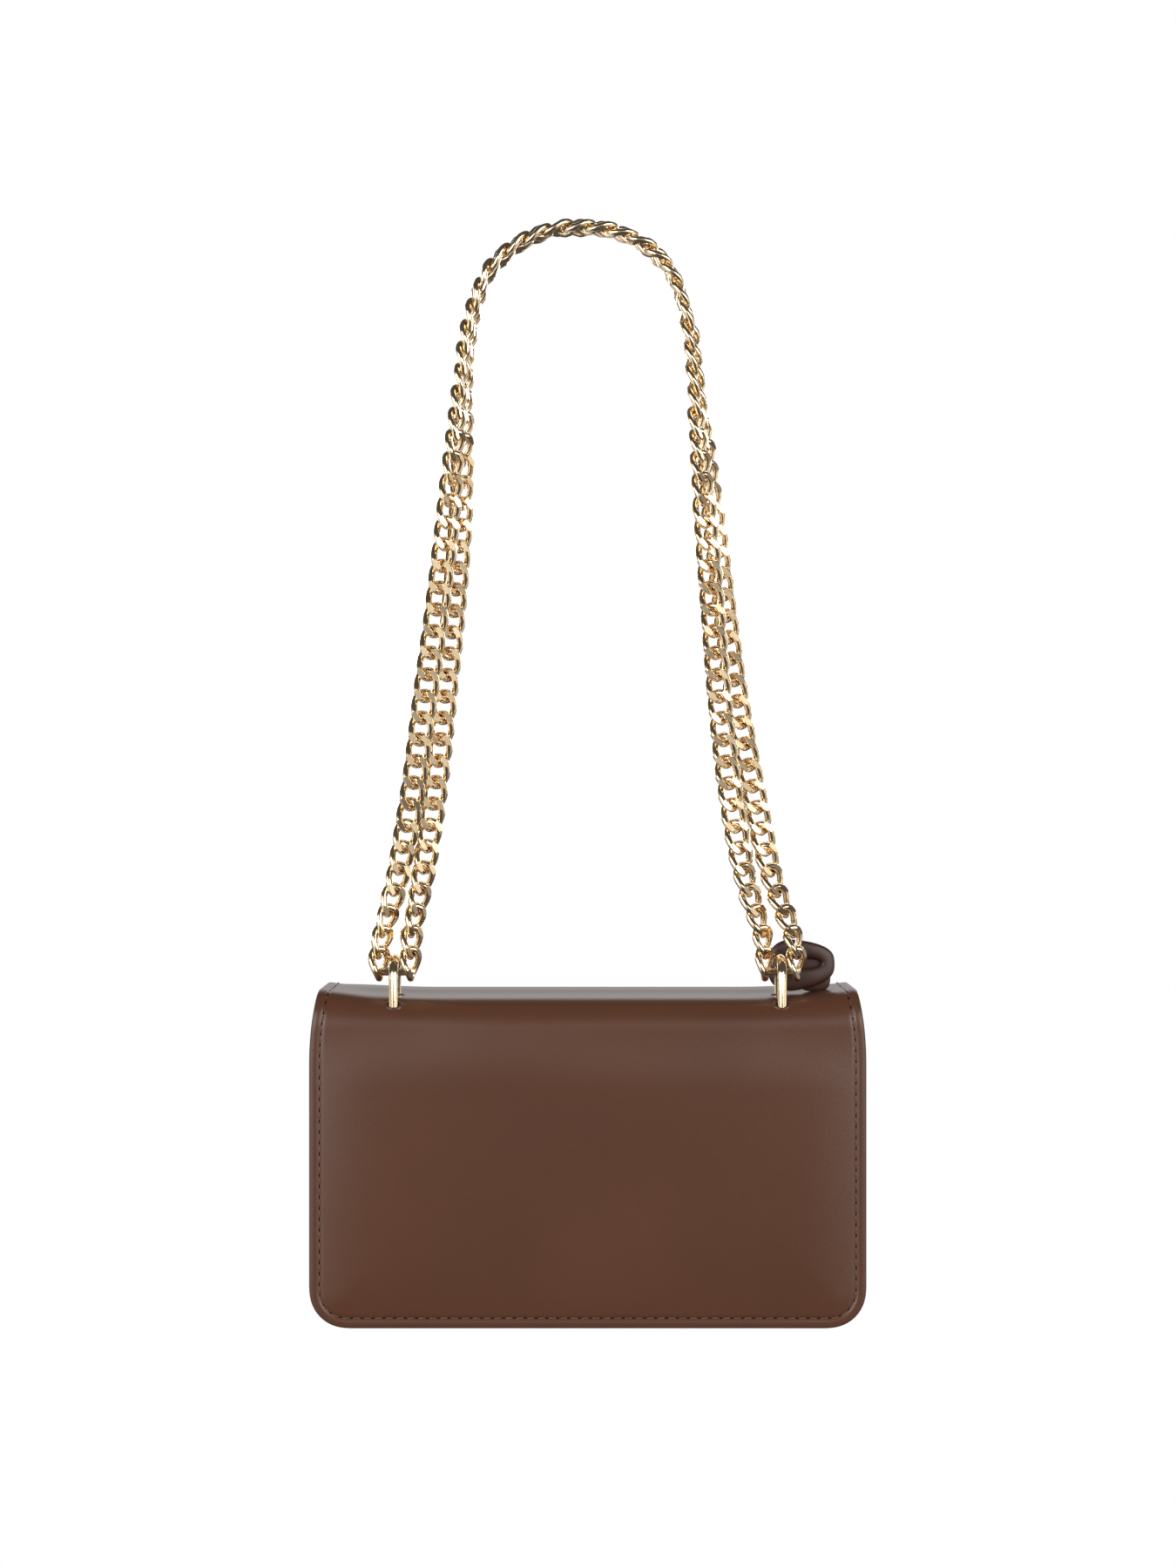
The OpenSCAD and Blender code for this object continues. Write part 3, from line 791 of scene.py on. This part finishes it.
class BAG_OT_front_leather(Operator):
    """Make the front panel behind the flap, with its stitches"""

    bl_idname = "bag.front_leather"
    bl_label = "Front leather"

    def execute(self, context):
        pattern = front_pattern()
        bm, inset, drop = pattern.sheet(48)
        for vert in bm.verts:
            x, up, _ = vert.co
            flat = rim_height(vert[inset], 0)
            vert.co = in_bag(x, FRONT_Y + flat - vert[drop], up)
        bmesh.ops.reverse_faces(bm, faces=bm.faces)
        obj = finish_mesh(bm, "front_leather", ["leather", "edge"], levels=1)
        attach(obj, "bag")
        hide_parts("front_panel")
        seam_in = context.scene.bag_sizes.seam_in
        flat = rim_height(seam_in, 0)
        seam = sew(
            "stitches_front", pattern, lambda x, up, rise: in_bag(x, FRONT_Y + rise, up), lambda x, up: flat
        )
        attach(seam, "bag")
        return {"FINISHED"}


class BAG_OT_gusset_leather(Operator):
    """Make the strip round the sides and base, with a flange turned out along each seam"""

    bl_idname = "bag.gusset_leather"
    bl_label = "Gusset"

    def execute(self, context):
        back = LEATHER_T + GUSSET_T
        front = FRONT_Y - LEATHER_T - GUSSET_T
        turn = 0.0012
        fold = [(i * math.pi / 8) for i in range(5)]
        profile = [(0.0, back), (0.002, back)]
        profile += [(SEAM_RIM - turn + turn * math.sin(a), back + turn - turn * math.cos(a)) for a in fold]
        profile += [(SEAM_RIM, y) for y in even(back + turn + 0.002, front - turn - 0.002, 0.003)]
        profile += [(SEAM_RIM - turn + turn * math.cos(a), front - turn + turn * math.sin(a)) for a in fold]
        profile += [(0.002, front), (0.0, front)]
        rows = even(CORNER_R, BACK_BEND_Z, 0.003)
        pattern = Pattern(half_width, CORNER_R, rows)
        half = [(1, station) for station in reversed(pattern.stations(8))]
        bottom = [(0, share) for share in even(0.95, -0.95, -0.05)]
        path = half + bottom + [(-1, station) for _, station in reversed(half)]
        bm = bmesh.new()
        bmesh.ops.create_grid(bm, x_segments=len(path) - 1, y_segments=len(profile) - 1, size=1)
        for vert in bm.verts:
            along = path[round((vert.co.x + 1) / 2 * (len(path) - 1))]
            inset, depth = profile[round((vert.co.y + 1) / 2 * (len(profile) - 1))]
            middle = smooth(back, back + 0.016, depth) * smooth(front, front - 0.016, depth)
            spot = pattern.place(along, inset + 0.0009 * middle * smooth(0.02, 0.09, along[1]))
            vert.co = in_bag(spot.x, depth, spot.y)
        face_base(bm, downwards=True)
        obj = finish_mesh(bm, "gusset_leather", ["leather", "edge"])
        add_thickness(obj, GUSSET_T, rim=1)
        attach(obj, "bag")
        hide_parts("gusset")
        return {"FINISHED"}


class BAG_OT_inside(Operator):
    """Make the lining tub and the slip pocket on its back wall"""

    bl_idname = "bag.inside"
    bl_label = "Lining and pocket"

    def execute(self, context):
        rim = HALF_W - (LINING_HIGH.x - LINING_LOW.x) / 2
        base = LINING_LOW.z - ORIGIN.z
        height = LINING_HIGH.z - LINING_LOW.z
        back = LINING_LOW.y - ORIGIN.y
        depth = LINING_HIGH.y - LINING_LOW.y
        corner = CORNER_R - rim
        rows = even(corner, height, 0.005)
        pattern = Pattern(lambda up: half_width(up + base) - rim, corner, rows)
        bm, _, _ = pattern.sheet(40, inner=0, rim=[], edge=[])
        steps = 9
        for _ in range(steps):
            walls = [
                e for e in bm.edges if e.is_boundary and not all(v.co.y > height - TINY for v in e.verts)
            ]
            fresh = only(extrude(bm, walls), BMVert)
            bmesh.ops.translate(bm, verts=fresh, vec=(0, 0, depth / 2 / steps))
        mirror = Matrix.Translation((0, 0, -depth / 2))
        bmesh.ops.mirror(bm, geom=whole(bm), matrix=mirror, merge_dist=TINY, axis="Z")
        for vert in bm.verts:
            x, up, deep = vert.co
            vert.co = in_bag(x, back + deep, base + up)
        face_base(bm, downwards=False)
        obj = finish_mesh(bm, "lining_tub", ["lining", "edge"])
        add_thickness(obj, LINING_T, rim=1)
        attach(obj, "bag")
        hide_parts("lining")
        self.pocket(back + LINING_T)
        return {"FINISHED"}

    def pocket(self, wall):
        """The slip pocket, sewn to the lining along its sides and foot and open at the top."""
        half = (POCKET_HIGH.x - POCKET_LOW.x) / 2
        height = POCKET_HIGH.z - POCKET_LOW.z
        deep = POCKET_HIGH.y - POCKET_LOW.y
        foot = POCKET_LOW.z - ORIGIN.z
        corner = 0.008
        pattern = Pattern(lambda up: half, corner, even(corner, height, 0.004))
        bm, inset, _ = pattern.sheet(36, inner=0.004, rim=[0.002, 0.0], edge=[])
        for vert in bm.verts:
            x, up, _ = vert.co
            stand = LINING_T + (deep - LINING_T) * smooth(0.002, 0.02, vert[inset]) * smooth(0.01, height, up)
            vert.co = in_bag(x, wall + stand, foot + up)
        bmesh.ops.reverse_faces(bm, faces=bm.faces)
        obj = finish_mesh(bm, "inner_pocket", ["lining", "edge"])
        add_thickness(obj, LINING_T * 0.9, rim=1)
        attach(obj, "bag")
        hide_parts("slip_pocket")


class BAG_OT_rings(Operator):
    """Make the two rings, with legs that go down through the slits"""

    bl_idname = "bag.rings"
    bl_label = "Rings"

    def execute(self, context):
        sizes = context.scene.bag_sizes
        for side, name in ((-1, "left"), (1, "right")):
            bm = self.ring(sizes)
            bmesh.ops.translate(bm, verts=bm.verts, vec=in_bag(side * RING_X, RING_Y, BAG_H + RING_RISE))
            obj = finish_mesh(bm, f"ring_{name}_band", ["metal"])
            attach(obj, "bag")
            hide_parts(f"ring_{name}")
        return {"FINISHED"}

    def ring(self, sizes):
        """An arch with a ridge along its outside, two legs and a straight foot, about the arch's centre."""
        out = RING_HOLE_R + RING_BAR
        half = sizes.ring_band / 2
        corners = [
            (RING_HOLE_R, -half), (out - sizes.ring_ridge, -half), (out, 0), (out - sizes.ring_ridge, half),
            (RING_HOLE_R, half),
        ]
        bm = bmesh.new()
        face = bm.faces.new([bm.verts.new((x, y, 0)) for y, x in corners])
        bmesh.ops.bevel(
            bm, geom=face.verts[:], offset=0.0003, segments=2, profile=0.5, affect="VERTICES", material=-1
        )
        bmesh.ops.delete(bm, geom=bm.faces[:], context="FACES_ONLY")
        bmesh.ops.spin(
            bm, geom=bm.verts[:] + bm.edges[:], cent=(0, 0, 0), axis=(1, 0, 0), dvec=(0, 0, 0), angle=math.pi,
            steps=40,
        )
        feet = only(extrude(bm, [e for e in bm.edges if e.is_boundary]), BMVert)
        bmesh.ops.translate(bm, verts=feet, vec=(0, 0, -RING_LEG))
        bmesh.ops.holes_fill(bm, edges=[e for e in bm.edges if e.is_boundary])
        turn = Matrix.Translation((0, 0, -RING_LEG)) @ Matrix.Rotation(math.pi / 2, 4, "X")
        bmesh.ops.create_cone(
            bm, cap_ends=True, segments=24, radius1=FOOT_R, radius2=FOOT_R, depth=2 * RING_HOLE_R + RING_BAR,
            matrix=turn,
        )
        bmesh.ops.recalc_face_normals(bm, faces=bm.faces)
        keep_sharp(bm, math.radians(40))
        return bm


class BAG_OT_slits(Operator):
    """Make the slits round the rings' legs, as a flat opening in painted shade with a raised lip"""

    bl_idname = "bag.slits"
    bl_label = "Ring slits"

    def execute(self, context):
        bm = bmesh.new()
        for side in (-1, 1):
            for depth in (RING_Y - RING_HOLE_R - RING_BAR / 2, RING_Y + RING_HOLE_R + RING_BAR / 2):
                self.slit(bm, side * RING_X, depth)
        obj = finish_mesh(bm, "ring_slits", ["leather", "hole"])
        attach(obj, "bag")
        return {"FINISHED"}

    def slit(self, bm, x, depth):
        """One slit on the top leather, about a ring's leg."""
        s = TOP_START + depth - BACK_BEND_R
        if depth < BACK_BEND_R:
            s = BACK_BEND_Z + BACK_BEND_R * math.acos(1 - depth / BACK_BEND_R)
        rise = back_height(x, s, HALF_W - abs(x)) + 0.0001
        start = len(bm.verts)
        bmesh.ops.create_circle(bm, segments=28, radius=1, cap_ends=True)
        bm.faces.ensure_lookup_table()
        # The opening is a flat face in the hole colour, painted shade where the leg goes down into the
        # leather
        hole = bm.faces[-1]
        hole.material_index = 1
        bm.verts.ensure_lookup_table()
        edges = list(hole.edges)
        for vert in bm.verts[start:]:
            vert.co = (vert.co.x * SLIT_HALF_X, vert.co.y * SLIT_HALF_S, rise)
        for out, up in SLIT_LIP:
            made = extrude(bm, edges)
            edges = [e for e in only(made, BMEdge) if e.is_boundary]
            for face in only(made, BMFace):
                face.material_index = 0
            for vert in only(made, BMVert):
                turn = math.atan2(vert.co.y / SLIT_HALF_S, vert.co.x / SLIT_HALF_X)
                across, along = (SLIT_HALF_X + out) * math.cos(turn), (SLIT_HALF_S + out) * math.sin(turn)
                vert.co = (across, along, rise + up)
        bm.verts.ensure_lookup_table()
        for vert in bm.verts[start:]:
            vert.co = on_hide(x + vert.co.x, s + vert.co.y, vert.co.z)


class BAG_OT_keepers(Operator):
    """Make the leather keepers that hold the rings' feet under the top"""

    bl_idname = "bag.keepers"
    bl_label = "Ring keepers"

    def execute(self, context):
        half_x = (KEEPER_HIGH.x - KEEPER_LOW.x) / 2
        half_y = (KEEPER_HIGH.y - KEEPER_LOW.y) / 2
        top = KEEPER_HIGH.z - ORIGIN.z
        for side, name in ((-1, "left"), (1, "right")):
            bm = bmesh.new()
            bmesh.ops.create_grid(bm, x_segments=44, y_segments=6, size=1)
            for vert in bm.verts:
                x, y, _ = vert.co
                dip = 2 * FOOT_R * (1 - smooth(FOOT_R, 3 * FOOT_R, abs(x) * half_x))
                vert.co = in_bag(side * RING_X + x * half_x, RING_Y + y * half_y, top - dip - TINY)
            obj = finish_mesh(bm, f"keeper_{name}", ["leather", "edge"])
            add_thickness(obj, GUSSET_T, rim=1)
            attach(obj, "bag")
            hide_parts(f"ring_keeper_{name}")
        return {"FINISHED"}


class BAG_OT_top_board(Operator):
    """Make the stiffener that follows the top leather from below, notched round the rings' feet"""

    bl_idname = "bag.top_board"
    bl_label = "Top board"

    def execute(self, context):
        half_x = (TOP_BOARD_HIGH.x - TOP_BOARD_LOW.x) / 2
        notch = FOOT_R + 0.0007
        right = even(0, RING_X - notch, 0.004) + even(RING_X + notch, half_x, 0.004)
        columns = [-x for x in reversed(right[1:])] + right
        start = TOP_START + TOP_BOARD_LOW.y - ORIGIN.y - BACK_BEND_R
        rows = even(start, start + TOP_BOARD_HIGH.y - TOP_BOARD_LOW.y, 0.0022)
        bm = bmesh.new()
        bmesh.ops.create_grid(bm, x_segments=len(columns) - 1, y_segments=len(rows) - 1, size=1)
        for vert in bm.verts:
            x = columns[round((vert.co.x + 1) / 2 * (len(columns) - 1))]
            s = rows[round((vert.co.y + 1) / 2 * (len(rows) - 1))]
            under = min(0.0, back_height(x, s, HALF_W - abs(x))) - LEATHER_T - 0.0001
            vert.co = on_hide(x, s, under)
        far = ORIGIN.y + RING_Y + RING_HOLE_R + RING_BAR + 0.0006
        notches = [
            face for face in bm.faces
            if abs(abs(face.calc_center_median().x - ORIGIN.x) - RING_X) < notch
            and face.calc_center_median().y < far
        ]
        bmesh.ops.delete(bm, geom=notches, context="FACES")
        face_up(bm)
        # The material "board" is the frame's own, which the other boards keep too
        obj = finish_mesh(bm, "board_top", ["board"])
        add_thickness(obj, 0.0007)
        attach(obj, "bag")
        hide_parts("top_board")
        return {"FINISHED"}


class BAG_OT_tag(Operator):
    """Make the padded leather tag behind the right ring, as a loop over a second layer"""

    bl_idname = "bag.tag"
    bl_label = "Tag"

    def execute(self, context):
        thick = context.scene.bag_sizes.tag_thick
        width = TAG_HIGH.x - TAG_LOW.x
        height = TAG_HIGH.z - TAG_LOW.z
        middle = Vector(((TAG_LOW.x + TAG_HIGH.x) / 2, (TAG_LOW.y + TAG_HIGH.y) / 2, TAG_LOW.z))
        loop = bmesh.new()
        bmesh.ops.create_circle(loop, segments=72, radius=1)
        edges = loop.edges[:]
        turns = {vert: math.atan2(vert.co.y, vert.co.x) for vert in loop.verts}
        self.row(turns, 0, width, height, thick)
        for share in (0.03, 0.1, 0.22, 0.4, 0.6, 0.78, 0.9, 0.97, 1.0):
            made = extrude(loop, edges)
            turns = handed_on(made, turns)
            edges = [e for e in only(made, BMEdge) if all(v in turns for v in e.verts)]
            self.row(turns, share, width, height, thick)
        bmesh.ops.mirror(loop, geom=whole(loop), matrix=Matrix.Identity(4), merge_dist=TINY, axis="Y")
        bmesh.ops.recalc_face_normals(loop, faces=loop.faces)
        for vert in loop.verts:
            vert.co += middle + Vector((0, 0.0014 * (vert.co.x / width) ** 2 * 4, 0))
        obj = finish_mesh(loop, "tag_loop", ["tag"], levels=1)
        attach(obj, "bag")
        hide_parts("tag")
        tail = bmesh.new()
        bmesh.ops.create_uvsphere(tail, u_segments=32, v_segments=16, radius=1)
        for vert in tail.verts:
            x, y, z = vert.co
            flat = Vector((spread(x, 0.6), spread(y, 0.45), spread(z, 0.6)))
            vert.co = middle + Vector((
                width * (0.20 + 0.24 * flat.x), thick * (1.05 + 0.4 * flat.y), height * (0.33 + 0.33 * flat.z)
            ))
        obj = finish_mesh(tail, "tag_tail", ["tag"])
        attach(obj, "bag")
        return {"FINISHED"}

    def row(self, turns, share, width, height, thick):
        """Places a ring of vertices at a share of the way from the slit to the outline."""
        for vert, turn in turns.items():
            x, z = spread(math.cos(turn), 0.72), spread(math.sin(turn), 0.72)
            taper = 1 - 0.26 * smooth(-0.6, 1.0, x)
            outline = Vector((width * 0.5 * x, height * (0.52 + 0.02 * x + 0.52 * taper * z)))
            slit = Vector((width * (0.05 + 0.24 * math.cos(turn)), height * (0.56 + 0.10 * math.sin(turn))))
            spot = slit.lerp(outline, share)
            stand = thick / 2 * (1 - abs(2 * share - 1) ** 3.0) ** 0.5
            vert.co = (spot.x, -stand, spot.y)


def spread(value, power):
    """Pushes a rounded value out towards a square's side."""
    return math.copysign(abs(value) ** power, value)


def link_mesh(sizes, long, twist, flat):
    """A link of round wire, twisted from end to end and ground flat to a thickness, if one is given."""
    wire = sizes.wire
    half_l, half_w = (long - wire) / 2, (sizes.link_width - wire) / 2
    bm = bmesh.new()
    bmesh.ops.create_circle(bm, segments=8, radius=wire / 2)
    bmesh.ops.rotate(bm, verts=bm.verts, matrix=Matrix.Rotation(math.pi / 2, 3, "X"))
    bmesh.ops.translate(bm, verts=bm.verts, vec=(half_l, 0, 0))
    bmesh.ops.spin(
        bm, geom=bm.verts[:] + bm.edges[:], cent=(0, 0, 0), axis=(0, 0, 1), dvec=(0, 0, 0), angle=2 * math.pi,
        steps=sizes.link_steps, use_merge=True,
    )
    for vert in bm.verts:
        t = math.atan2(vert.co.y, vert.co.x)
        across = math.hypot(vert.co.x, vert.co.y) - half_l
        x, y = (spread(part, 2 / LINK_SQUARENESS) for part in (math.cos(t), math.sin(t)))
        turn = twist * x
        lie = Vector((0, math.cos(turn), math.sin(turn)))
        up = Vector((0, -math.sin(turn), math.cos(turn)))
        steep = LINK_SQUARENESS - 1
        out = Vector((spread(x, steep) / half_l, spread(y, steep) / half_w)).normalized()
        middle = Vector((half_l * x, 0, 0)) + lie * half_w * y
        vert.co = middle + (Vector((out.x, 0, 0)) + lie * out.y) * across + up * vert.co.z
    for side in (-1, 1) if flat else ():
        cut = bmesh.ops.bisect_plane(
            bm, geom=whole(bm), plane_co=(0, 0, side * flat / 2), plane_no=(0, 0, side), clear_outer=True
        )
        bmesh.ops.holes_fill(bm, edges=only(cut["geom_cut"], BMEdge))
    bmesh.ops.recalc_face_normals(bm, faces=bm.faces)
    for e in bm.edges:
        e.smooth = not all(abs(abs(v.co.z) - flat / 2) < TINY for v in e.verts)
    return to_mesh(bm, "link")


def ring_joint(ring, way, pitch, link):
    """Where a strand's first links meet above a ring."""
    height = -STRAP_DROP + RING_LINK_LIFT + FIRST_LINK_UP + (link - 0.5) * pitch
    return Vector((ORIGIN.x + ring * RING_X + way * RING_LINK_HALF, 0, height))


def strand_joints(side, shares, pitch):
    """Joints between the links, evenly spaced along the strand's curve."""
    route = [ring_joint(-1, side, pitch, 0), ring_joint(-1, side, pitch, 1)]
    for across, apart, drop in shares:
        x = across * RING_X + across * across * ORIGIN.x
        route.append(Vector((x, side * apart * STRAND_GAP / 2, -drop * STRAP_DROP)))
    route += [ring_joint(1, side, pitch, 1), ring_joint(1, side, pitch, 0)]
    points = []
    for i in range(len(route) - 1):
        a, b, c, d = route[max(i - 1, 0)], route[i], route[i + 1], route[min(i + 2, len(route) - 1)]
        for k in range(CURVE_STEPS):
            t = k / CURVE_STEPS
            near = 2 * b + (c - a) * t
            far = (2 * a - 5 * b + 4 * c - d) * t * t + (3 * b - a - 3 * c + d) * t**3
            points.append(0.5 * (near + far))
    return spaced(points + [route[-1]], pitch)


def link_matrix(a, b, turn):
    """A link's place between two joints, turned about its length."""
    along = (b - a).normalized()
    across = (Vector((0, 1, 0)) - along * along.y).normalized()
    face = across * math.cos(turn) + across.cross(along) * math.sin(turn)
    return axes((a + b) / 2, along, face.cross(along), face)


class BAG_OT_chain(Operator):
    """Make both strands of the curb chain and the plain link in each ring"""

    bl_idname = "bag.chain"
    bl_label = "Chain strap"

    def execute(self, context):
        sizes = context.scene.bag_sizes
        link = link_mesh(sizes, sizes.link_length, LINK_TWIST, sizes.link_flat)
        for name, side, shares in (("front", -1, FRONT_STRAND_SHARES), ("back", 1, BACK_STRAND_SHARES)):
            joints = strand_joints(side, shares, sizes.link_pitch)
            count = len(joints) - 1
            strand = bmesh.new()
            for i in range(count):
                turn = lookup((i + 0.5) / count, TURN_SHARES)
                turn = math.radians(turn + TURN_WOBBLE * math.sin(2.4 * i) * math.sin(0.7 * i + side))
                add_copy(strand, link, link_matrix(joints[i], joints[i + 1], turn))
            self.finish(strand, f"chain_{name}", f"chain_{name}_strand")
        pair = bmesh.new()
        plain = link_mesh(sizes, RING_LINK_LENGTH, 0, 0)
        for side in (-1, 1):
            middle = Vector((ORIGIN.x + side * RING_X, 0, RING_LINK_LIFT - STRAP_DROP))
            add_copy(pair, plain, Matrix.Translation(middle))
        self.finish(pair, "chain_ring_pair", "chain_ring_links")
        return {"FINISHED"}

    def finish(self, bm, name, node):
        """A piece of the chain in place of its node."""
        obj = finish_mesh(bm, name, ["metal"])
        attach(obj, "strap")
        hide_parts(node)


class BAG_OT_stage(Operator):
    """Set up the camera, the lamps, the floor and the white background"""

    bl_idname = "bag.stage"
    bl_label = "Stage"

    def execute(self, context):
        scene = context.scene
        scene.view_settings.view_transform = "Standard"
        self.camera(scene)
        self.world(scene)
        self.floor()
        for across, depth, power in LAMPS:
            name = ("lamp_left" if across < 0 else "lamp_right") + ("_back" if depth > 0 else "_front")
            self.lamp(name, (1.1 * across, 1.4 * depth, 0.1), power)
        self.room()
        return {"FINISHED"}

    def camera(self, scene):
        """A long lens level with the middle of the picture."""
        camera = bpy.data.objects.new("camera", bpy.data.cameras.new("camera"))
        scene.collection.objects.link(camera)
        camera.location = (CAMERA_X, BACK_LOW.y - CAMERA_DISTANCE, CAMERA_Z)
        camera.rotation_euler = (math.pi / 2, 0, 0)
        camera.data.lens = camera.data.sensor_width * CAMERA_DISTANCE / PICTURE_SIDE
        scene.camera = camera

    def world(self, scene):
        """White where it is seen, reflected or seen through, and soft grey light elsewhere."""
        world = bpy.data.worlds.new("studio")
        world.use_nodes = True
        scene.world = world
        tree = world.node_tree
        white = tree.nodes["Background"]
        white.inputs["Color"].default_value = (1, 1, 1, 1)
        fill = tree.nodes.new("ShaderNodeBackground")
        fill.inputs["Color"].default_value = (0.36, 0.36, 0.36, 1)
        show(tree, fill.outputs["Background"], white.outputs["Background"], "World Output")

    def floor(self):
        """A plain pale floor far below the bag."""
        bm = bmesh.new()
        bmesh.ops.create_grid(bm, x_segments=1, y_segments=1, size=FLOOR_HALF)
        bmesh.ops.translate(bm, verts=bm.verts, vec=(0, 0, FLOOR_Z))
        floor, material = self.surround(bm, "floor")
        tree = material.node_tree
        shader = tree.nodes["Principled BSDF"]
        shader.inputs["Base Color"].default_value = (0.8, 0.8, 0.8, 1)
        glow = tree.nodes.new("ShaderNodeEmission")
        show(tree, shader.outputs["BSDF"], glow.outputs["Emission"], "Material Output")

    def surround(self, bm, name):
        """An object of the studio and its new material."""
        mesh = to_mesh(bm, name)
        material = bpy.data.materials.new(name)
        material.use_nodes = True
        mesh.materials.append(material)
        obj = bpy.data.objects.new(name, mesh)
        bpy.context.scene.collection.objects.link(obj)
        return obj, material

    def lamp(self, name, place, power):
        """A soft rectangular lamp that points at the bag."""
        light = bpy.data.lights.new(name, "AREA")
        light.shape = "RECTANGLE"
        light.size, light.size_y = LAMP_SIZE
        light.energy = power
        lamp = bpy.data.objects.new(name, light)
        bpy.context.scene.collection.objects.link(lamp)
        lamp.location = place
        lamp.rotation_euler = (Vector(LAMP_TARGET) - Vector(place)).to_track_quat("-Z", "Y").to_euler()

    def room(self):
        """The studio round the white backdrop, with pale panels on dim walls, which only reflections show."""
        bm = bmesh.new()
        bmesh.ops.create_uvsphere(bm, u_segments=48, v_segments=24, radius=ROOM_RADIUS)
        bmesh.ops.scale(bm, verts=bm.verts, vec=(1, 1, ROOM_FLATNESS))
        bmesh.ops.translate(bm, verts=bm.verts, vec=(0, 0, ROOM_MIDDLE_Z))
        bmesh.ops.bisect_plane(
            bm, geom=whole(bm), plane_co=(0, ROOM_WINDOW_Y, 0), plane_no=(0, 1, 0), clear_outer=True
        )
        bmesh.ops.reverse_faces(bm, faces=bm.faces)
        room, material = self.surround(bm, "room")
        tree = material.node_tree
        glow = tree.nodes.new("ShaderNodeEmission")
        strength = tree.nodes.new("ShaderNodeMath")
        strength.inputs[1].default_value = ROOM_DIM
        tree.links.new(self.panels(tree), strength.inputs[0])
        tree.links.new(strength.outputs[0], glow.inputs["Strength"])
        tree.links.new(glow.outputs["Emission"], tree.nodes["Material Output"].inputs["Surface"])
        material.cycles.emission_sampling = "NONE"
        room.visible_camera = False
        room.visible_diffuse = False
        room.visible_shadow = False

    def panels(self, tree):
        """How bright the room's panels and backdrop are, by their place in the room."""
        cloud = texture(tree, "Noise", 1.3)
        place = tree.nodes.new("ShaderNodeTexCoord")
        parts = tree.nodes.new("ShaderNodeSeparateXYZ")
        across = tree.nodes.new("ShaderNodeMath")
        across.operation = "ABSOLUTE"
        tree.links.new(place.outputs["Object"], parts.inputs[0])
        tree.links.new(parts.outputs["X"], across.inputs[0])
        side, depth, up = across.outputs[0], parts.outputs["Y"], parts.outputs["Z"]
        panels = combine(tree, "MAXIMUM", ramp(tree, side, 0.8, 1.4), ramp(tree, up, -0.5, 0.0))
        for limit in (
            ramp(tree, up, 0.8, 1.5, 1, 0), ramp(tree, depth, 0.4, 1.6, 1, 0),
            ramp(tree, cloud.outputs["Fac"], 0.42, 0.56, 0.2, 1.1),
        ):
            panels = combine(tree, "MULTIPLY", panels, limit)
        backdrop = combine(tree, "MULTIPLY", ramp(tree, side, 1.3, 2.1, 0.5, 0), ramp(tree, depth, 2.0, 3.0))
        backdrop = combine(tree, "MULTIPLY", backdrop, ramp(tree, up, 2.4, 3.4, 1, 0))
        return combine(tree, "ADD", panels, backdrop)


def show(tree, dull, pale, output):
    """Gives an output a pale shader for the rays that show it, and a dull one for the rest."""
    mix = tree.nodes.new("ShaderNodeMixShader")
    tree.links.new(shown_rays(tree), mix.inputs["Fac"])
    tree.links.new(dull, mix.inputs[1])
    tree.links.new(pale, mix.inputs[2])
    tree.links.new(mix.outputs["Shader"], tree.nodes[output].inputs["Surface"])


def shown_rays(tree):
    """1 for camera, glossy and transmission rays and 0 for the rest."""
    rays = tree.nodes.new("ShaderNodeLightPath")
    add = tree.nodes.new("ShaderNodeMath")
    both = tree.nodes.new("ShaderNodeMath")
    both.use_clamp = True
    tree.links.new(rays.outputs["Is Camera Ray"], add.inputs[0])
    tree.links.new(rays.outputs["Is Glossy Ray"], add.inputs[1])
    tree.links.new(add.outputs[0], both.inputs[0])
    tree.links.new(rays.outputs["Is Transmission Ray"], both.inputs[1])
    return both.outputs[0]


OPERATORS = (
    BAG_OT_materials, BAG_OT_back_leather, BAG_OT_flap_leather, BAG_OT_flap_lining, BAG_OT_front_leather,
    BAG_OT_gusset_leather, BAG_OT_inside, BAG_OT_rings, BAG_OT_slits, BAG_OT_keepers, BAG_OT_top_board,
    BAG_OT_tag, BAG_OT_chain, BAG_OT_stage,
)


class BAG_PT_panel(Panel):
    """Lists the bag's pieces and settings"""

    bl_idname = "BAG_PT_panel"
    bl_label = "Crossbody Bag"
    bl_space_type = "VIEW_3D"
    bl_region_type = "UI"
    bl_category = "Crossbody Bag"

    def draw(self, context):
        layout = self.layout
        for settings in (context.scene.bag_sizes, context.scene.bag_colours):
            box = layout.box()
            for name in settings.__annotations__:
                box.prop(settings, name)
        for operator in OPERATORS:
            layout.operator(operator.bl_idname)


CLASSES = (BagSizes, BagColours, *OPERATORS, BAG_PT_panel)


def register():
    """Registers the classes and their settings."""
    for each in CLASSES:
        bpy.utils.register_class(each)
    bpy.types.Scene.bag_sizes = PointerProperty(type=BagSizes)
    bpy.types.Scene.bag_colours = PointerProperty(type=BagColours)


def unregister():
    """Removes the settings and the classes."""
    del bpy.types.Scene.bag_colours
    del bpy.types.Scene.bag_sizes
    for each in reversed(CLASSES):
        bpy.utils.unregister_class(each)


def main():
    register()
    bpy.ops.bag.materials()
    bpy.ops.bag.back_leather()
    bpy.ops.bag.flap_leather()
    bpy.ops.bag.flap_lining()
    bpy.ops.bag.front_leather()
    bpy.ops.bag.gusset_leather()
    bpy.ops.bag.inside()
    bpy.ops.bag.rings()
    bpy.ops.bag.slits()
    bpy.ops.bag.keepers()
    bpy.ops.bag.top_board()
    bpy.ops.bag.tag()
    bpy.ops.bag.chain()
    bpy.ops.bag.stage()


if __name__ == "__main__":
    main()
